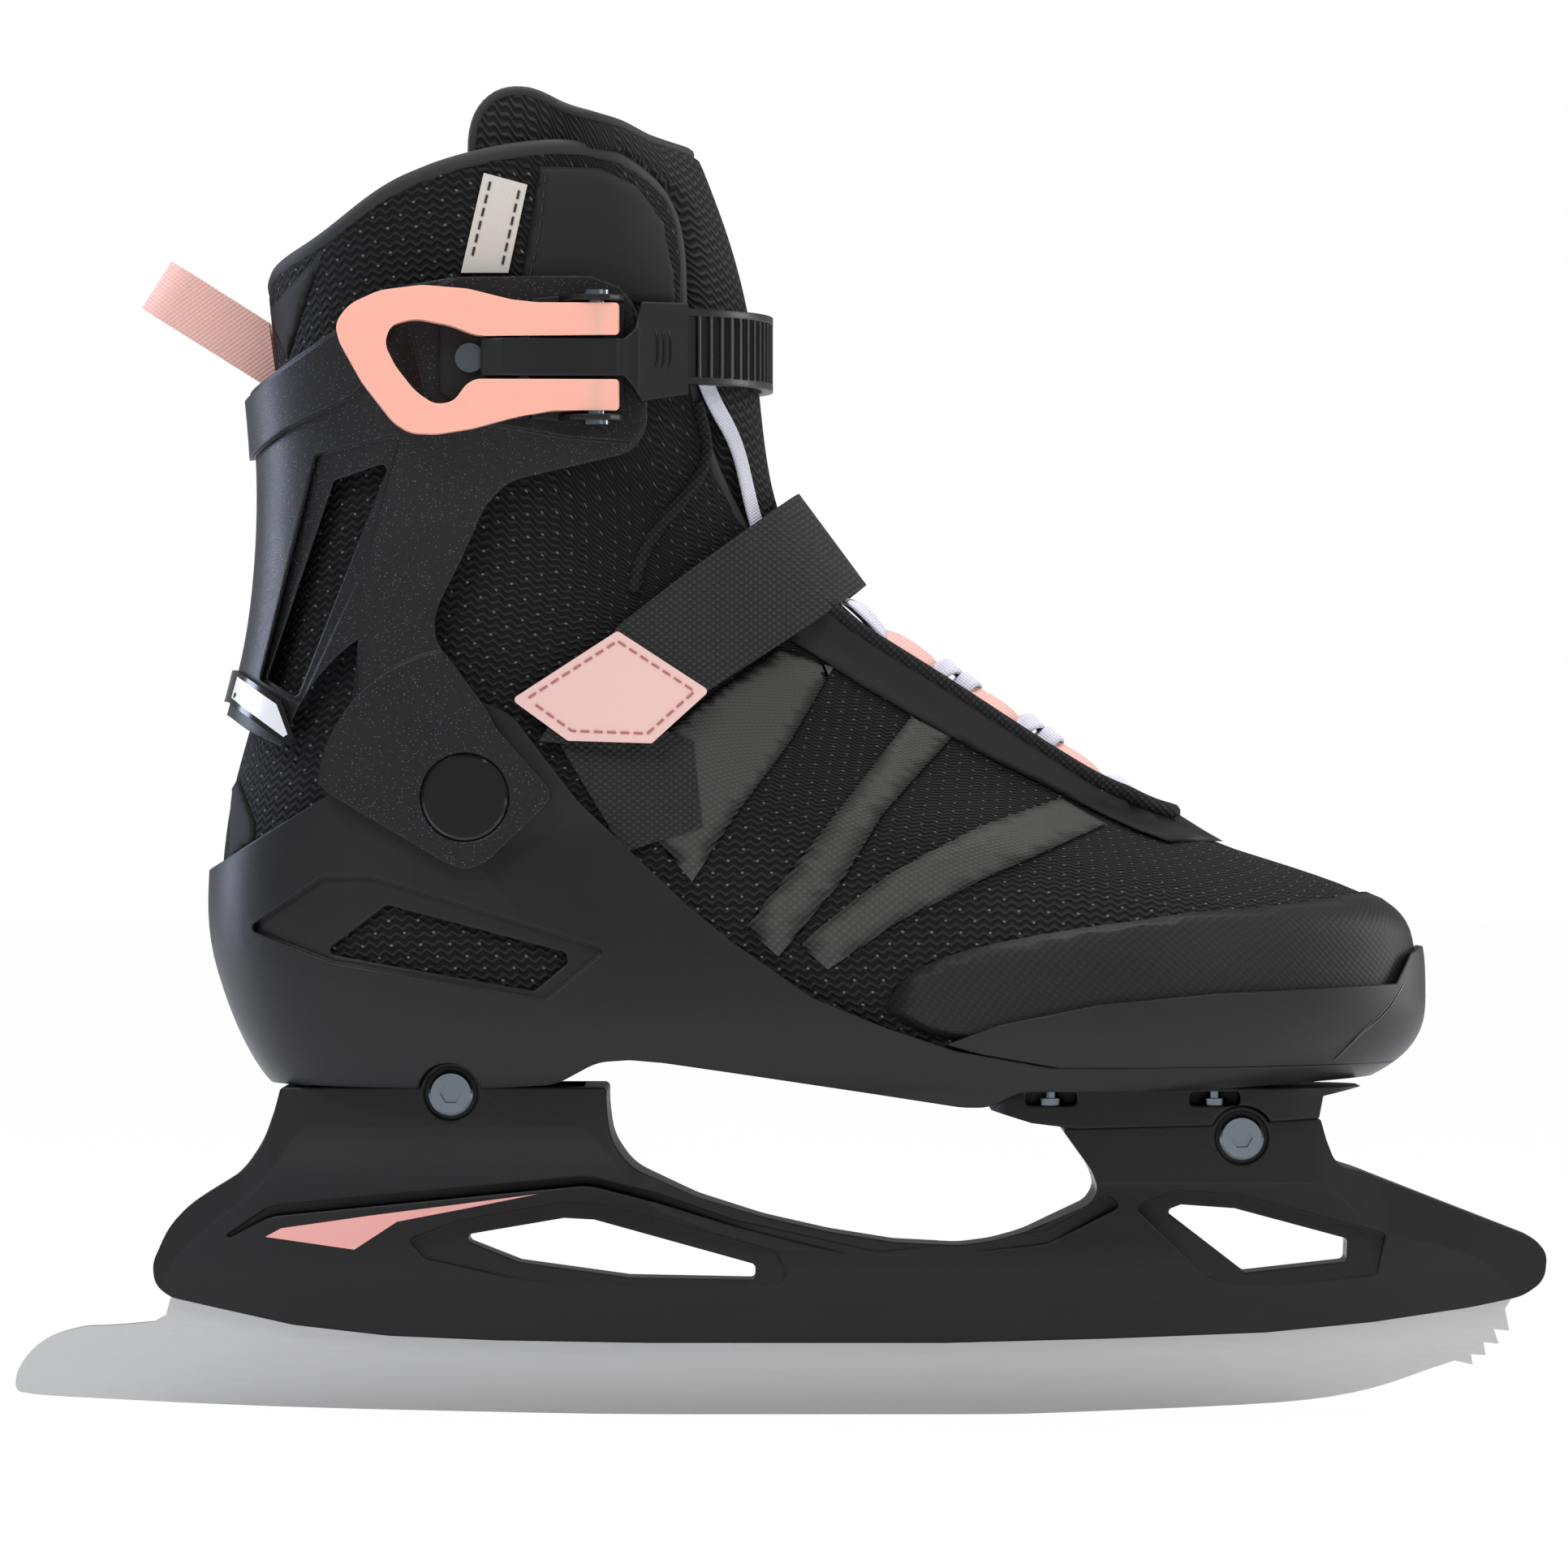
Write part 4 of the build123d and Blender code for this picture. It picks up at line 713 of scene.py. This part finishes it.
# ---------------------------------------------------------------- side pads and patches
# Foam pads under smooth neoprene on both sides of the collar, sewn along their rear edge, and small
# neoprene patches behind the collar and above the heel.
smooth_neoprene = woven("smooth_neoprene", "#202020", 0.72, 0.9, 0.9, 0.03, "#242425", 0.5, laid=False)
polyester_thread = principled("polyester_thread", "#0D0D0E", 0.6)[0]
THREAD = 0.28                # thread radius, drawn double so that it shows
PAD = [
    (-59.6, 293.8), (-45.8, 293.6), (-37.2, 289.8), (-31.6, 282.0), (-28.9, 270.0), (-28.4, 262.0),
    (-64.8, 262.0),
]
PAD_SEAM = [(-58.4, 292.0), (-63.0, 264.0)]
BACK = [(-124.5, 262), (-110.5, 274.5), (-119.5, 250)]
HEEL = [(-133.5, 150.5), (-131.6, 151.0), (-127.2, 141), (-127.2, 136), (-134, 132)]


def stitch_ends(points, first, length, gap):
    """Start, middle and end of each stitch in a row along points."""
    line = np.array(points, float)
    along = travelled(line)
    rows = []
    for start in np.arange(first, along[-1] - length, length + gap):
        at = (start, start + length / 2, start + length)
        rows.append([(np.interp(a, along, line[:, 0]), np.interp(a, along, line[:, 1])) for a in at])
    return rows


def joined(name, pieces):
    """Several objects made into one."""
    chosen = {"selected_editable_objects": pieces, "selected_objects": pieces}
    with bpy.context.temp_override(active_object=pieces[0], **chosen):
        bpy.ops.object.join()
    pieces[0].name = name
    return pieces[0]


side_pads = overlay("side_pads", seen_outline(PAD), smooth_neoprene, 0.3, 1.1, CUFF, 3.0)
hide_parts("collar_pads")
rows = stitch_ends(side_flat(PAD_SEAM), 0, 2.2, 1.5)
row = [tube("pad_stitches", flat_path(r, 1.5), THREAD, polyester_thread) for r in rows]
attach(joined("pad_stitches", row), CUFF)
overlay("back_patch", seen_outline(BACK), smooth_neoprene, 0.1, 0.6, CUFF)
overlay("heel_patch", seen_outline(HEEL), smooth_neoprene, 0.1, 0.6)

# ---------------------------------------------------------------- board and insole
# The boot is closed below by a lasting board of pressed cellulose, with a foam insole lying on it.
# Both are matt and hardly seen, so they stay plain.
pressed_board = principled("pressed_board", "#3A342C", 0.8)[0]
insole_foam = principled("insole_foam", "#1C1C1E", 0.85)[0]
finish(pressed_board, "lasting_board")
finish(insole_foam, "insole")

# ---------------------------------------------------------------- instep strap, tab, tag and loop
# A strap of black polyester webbing crosses the instep and ends under a pink synthetic leather tab
# with a sewn border. A woven tag is sewn to the cuff's collar, and a pink loop helps to pull it on.
polyester_webbing = woven("polyester_webbing", "#1B1B1B", 0.6, 2.2, 1.6, 0.25, "#3A3A3B", laid=False)
pink_webbing = woven("pink_webbing", "#CFA39C", 0.75, 1.5, 1.1, 0.18, "#E4B8B0", laid=False)
woven_satin = woven("woven_satin", "#B5B0AA", 0.8, 0.7, 0.7, 0.05, "#CAC5BF", laid=False)
synthetic_leather = principled("synthetic_leather", "#C9A6A0", 0.6)[0]
rose_thread = principled("rose_thread", "#9A5A58", 0.7)[0]
finish(polyester_webbing, "instep_strap", "instep_anchor")
finish(synthetic_leather, "strap_tab")
finish(woven_satin, "size_tag")
finish(pink_webbing, "pull_loop")
TAB_SEAM = [(-62.6, 169.9), (-41.6, 183.4), (-23.6, 171.7), (-34.6, 161.8), (-52.2, 162.4), (-62.6, 169.9)]
TAG_SEAM_REAR = [(-70.9, 290.4), (-75.9, 270.2)]
TAG_SEAM_FRONT = [(-64.2, 288.4), (-68.4, 270.2)]
OUTSIDE = -0.2               # metres: a start point beyond the outer side


def reach(name, x, z, off):
    """Point off outside a CAD piece where it is first met from the outer side."""
    piece = nodes[name]
    back = piece.matrix_world.inverted()
    start = back @ Vector((x * MM, OUTSIDE, z * MM))
    hit, spot, _, _ = piece.ray_cast(start, (back.to_3x3() @ Vector((0, 1, 0))).normalized())
    return (x, (piece.matrix_world @ spot).y / MM - off, z) if hit else None


def sewn(name, points, under, material, body):
    """A row of stitches on the CAD piece under it."""
    rows = [[reach(under, x, z, 0.1) for x, z in r] for r in stitch_ends(points, 0.4, 2.0, 1.1)]
    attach(joined(name, [tube(name, r, THREAD, material) for r in rows if all(r)]), body)


sewn("tab_stitches", TAB_SEAM, "strap_tab", rose_thread, BOOT)
sewn("tag_stitches_a", TAG_SEAM_REAR, "size_tag", polyester_thread, CUFF)
sewn("tag_stitches_b", TAG_SEAM_FRONT, "size_tag", polyester_thread, CUFF)

# ---------------------------------------------------------------- laces
# One flat white lace, woven of polyester. It runs through short pink webbing loops sewn along the
# throat, crosses the tongue between them, and goes up beside the tongue under both straps.
woven_lace = woven("woven_lace", "#B9B8C4", 0.8, 1.0, 0.8, 0.16, "#D6D5DF", laid=False)
loop_webbing = woven("loop_webbing", "#C79B94", 0.7, 1.3, 1.0, 0.12, "#DBB3AC", laid=False)
LOOPS = [177.6, 164.6, 151.6]                            # heights of the three pairs of loops
RIBBON_SIDES = 16
LOOP = [(102.3, 4.2, 3.0), (103.5, 3.2, 5.0), (104, 0, 5.6), (103.5, -3.2, 5.0), (102.3, -4.2, 3.0)]
THREADED = [(104, 4.6, 4.2), (104.5, 0, 4.0), (104, -4.6, 4.2)]
LACE_END = [(104, 181.5, 4.2), (103, 185.5, 6.6), (106, 190, 5.0), (111, 196, 0.8), (112, 203, 0.2)]
CROSSING = [(-1.5, 1.8, 3.4), (1, 1.6, 6.6), (5, 1.3, 6.0)]
BAR = [(103, -4.6, 3.4), (105, -5.8, 5.8), (109, -6.4, 5.2), (HALF, -6.6, 3.0)]
SIDE_RUN = [(-22.5, 246), (-20.3, 240.5), (-14.5, 228.5), (-10.9, 214), (-8, 205)]


def ribbon(name, spots, width, thick, material):
    """Flat woven band through (ring place, height, lift) spots on the form."""
    spots = np.array(spots, float)
    far = travelled(spots * [1.8, 1, 1])
    fine = cubic(far, spots, np.linspace(0, far[-1] - 1e-6, max(8, int(far[-1] / 1.2))))
    centre = on_form(fine[:, 0], fine[:, 1], fine[:, 2])
    out = on_form(fine[:, 0], fine[:, 1], fine[:, 2] + 1.0) - centre
    ahead = np.gradient(centre, axis=0)
    ahead /= np.linalg.norm(ahead, axis=1)[:, None]
    across = np.cross(out, ahead)
    across /= np.linalg.norm(across, axis=1)[:, None]
    up = np.cross(ahead, across)
    edge = []
    for k in range(RIBBON_SIDES):
        a = 2 * math.pi * k / RIBBON_SIDES
        c, d = math.cos(a), math.sin(a)
        crown = 1 - 0.25 * (abs(c) < 0.3)                # the middle of the band is a little thinner
        wide = math.copysign(abs(c) ** 0.7, c) * width / 2
        edge.append((wide, math.copysign(abs(d) ** 0.8, d) * thick / 2 * crown))
    verts = np.stack([centre + across * wide + up * tall for wide, tall in edge], 1).reshape(-1, 3)
    faces = []
    for i in range(len(centre) - 1):
        for k in range(RIBBON_SIDES):
            a, b = i * RIBBON_SIDES + k, i * RIBBON_SIDES + (k + 1) % RIBBON_SIDES
            faces.append((a, b, b + RIBBON_SIDES, a + RIBBON_SIDES))
    faces += [tuple(range(RIBBON_SIDES)), tuple(len(verts) - 1 - k for k in range(RIBBON_SIDES))]
    return mesh_object(name, verts, faces, material)


def lace_run(spots):
    return ribbon("run", spots, 5.0, 1.5, woven_lace)


def on_side(spots, side, z=0):
    """Spots moved up to height z, and over to the inner side where side is -1."""
    return [(u if side > 0 else FULL - u, z + dz, lift) for u, dz, lift in spots]


lace_parts, loop_parts = [], []
for side, _ in SIDES:
    for z in LOOPS:
        loop_parts.append(ribbon("loop", on_side(LOOP, side, z), 7.0, 1.2, loop_webbing))
        lace_parts.append(ribbon("run", on_side(THREADED, side, z), 4.6, 1.5, woven_lace))
    lace_parts.append(lace_run(on_side(LACE_END, side)))
for top, low in zip(LOOPS[:-1], LOOPS[1:]):
    z = (top + low) / 2
    for side, over in ((1, 0.0), (-1, 1.7)):
        start, end = (104, FULL - 104)[::side]
        spots = [(start + du * side, z + dz, lift) for du, dz, lift in CROSSING] + [(HALF, z, 2.8 + over)]
        spots += [(end - du * side, z - dz, lift) for du, dz, lift in reversed(CROSSING)]
        lace_parts.append(lace_run(spots))
bar = BAR + on_side(BAR[-2::-1], -1)
lace_parts.append(lace_run(on_side(bar, 1, LOOPS[-1])))
lace = joined("lace_lower", lace_parts)
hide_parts("lace")
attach(lace, BOOT)
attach(joined("lace_loops", loop_parts), BOOT)
for side, tag in SIDES:
    spots = on_side([(place_u(x, z), z, 1.2) for x, z in SIDE_RUN], side)
    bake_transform(ribbon("lace_run_" + tag, spots, 4.6, 1.5, woven_lace))

# ---------------------------------------------------------------- printed films
# Plain shapes printed or foiled on thin film and stuck on: a pink flash on the holder and a silver
# panel on the rear badge. Neither has any lettering.
printed_film = principled("printed_film", "#D99A94", 0.5)[0]
silver_foil = principled("silver_foil", "#D6D7DA", 0.3, 0.3)[0]
FLASH = [
    (-125.6, 42.7), (-121.8, 44.8), (-100.5, 47.9), (-80, 50.6), (-60.7, 53.2), (-78, 49.6), (-94.3, 46.4),
    (-104.6, 39.6),
]
PANEL = [(-131.8, 175.4), (-121.6, 168.7), (-118.8, 161.6), (-119.8, 161.0), (-133.2, 170.4)]
CLEAR = 200                  # moves a side-view outline away from the heel and toe lines of a layout


def printed(name, outline, behind, material, body, step):
    """Thin film inside a side-view outline, lying on the CAD piece behind it."""
    edge = [(x + CLEAR, z) for x, z in curve_points(outline + [outline[0]], step)[:-1]]
    flat, faces, _ = flat_layout(edge, step)
    spots = [reach(behind, x - CLEAR, z, 0.12) for x, z in flat]
    faces = [f for f in faces if all(spots[k] for k in f)]
    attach(mesh_object(name, [s or (0, 0, 0) for s in spots], faces, material), body)


printed("holder_decal", FLASH, "blade_holder", printed_film, BOOT, 2.0)
printed("badge_film", PANEL, "rear_badge", silver_foil, CUFF, 1.2)

# ---------------------------------------------------------------- bumper crease and pad grooves
# The toe cap is moulded with a crease where its bumper starts, and the thumb pad of the buckle arm
# with three short curved grooves. Their shade is painted as fine dark lines: thin gloss black tubes
# laid on the surface, with no groove cut.
CREASE = [(143.4, 102.6), (139.4, 97), (132.6, 91.2), (126.6, 85.2)]
# The crease's shade is painted as a thin gloss black tube along it.
crease = [reach("toe_cap", x, z, -0.1) for x, z in soft_path(CREASE, 1.5)]
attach(tube("bumper_crease_shade", crease, 0.45, polished_abs), BOOT)
GROOVE_X, GROOVE_Z, GROOVE_PITCH = -32.6, 250.8, 1.5
# The grooves' shade is painted as thin gloss black tubes along them.
for number in range(3):
    x = GROOVE_X + GROOVE_PITCH * number
    turns = np.linspace(-1.4, 1.4, 9)
    groove = [reach("buckle_arm", x + 0.6 * math.cos(t), GROOVE_Z + 4.4 * math.sin(t), 0.0) for t in turns]
    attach(tube("pad_groove_shade_%d" % number, groove, 0.3, polished_abs), "arm")
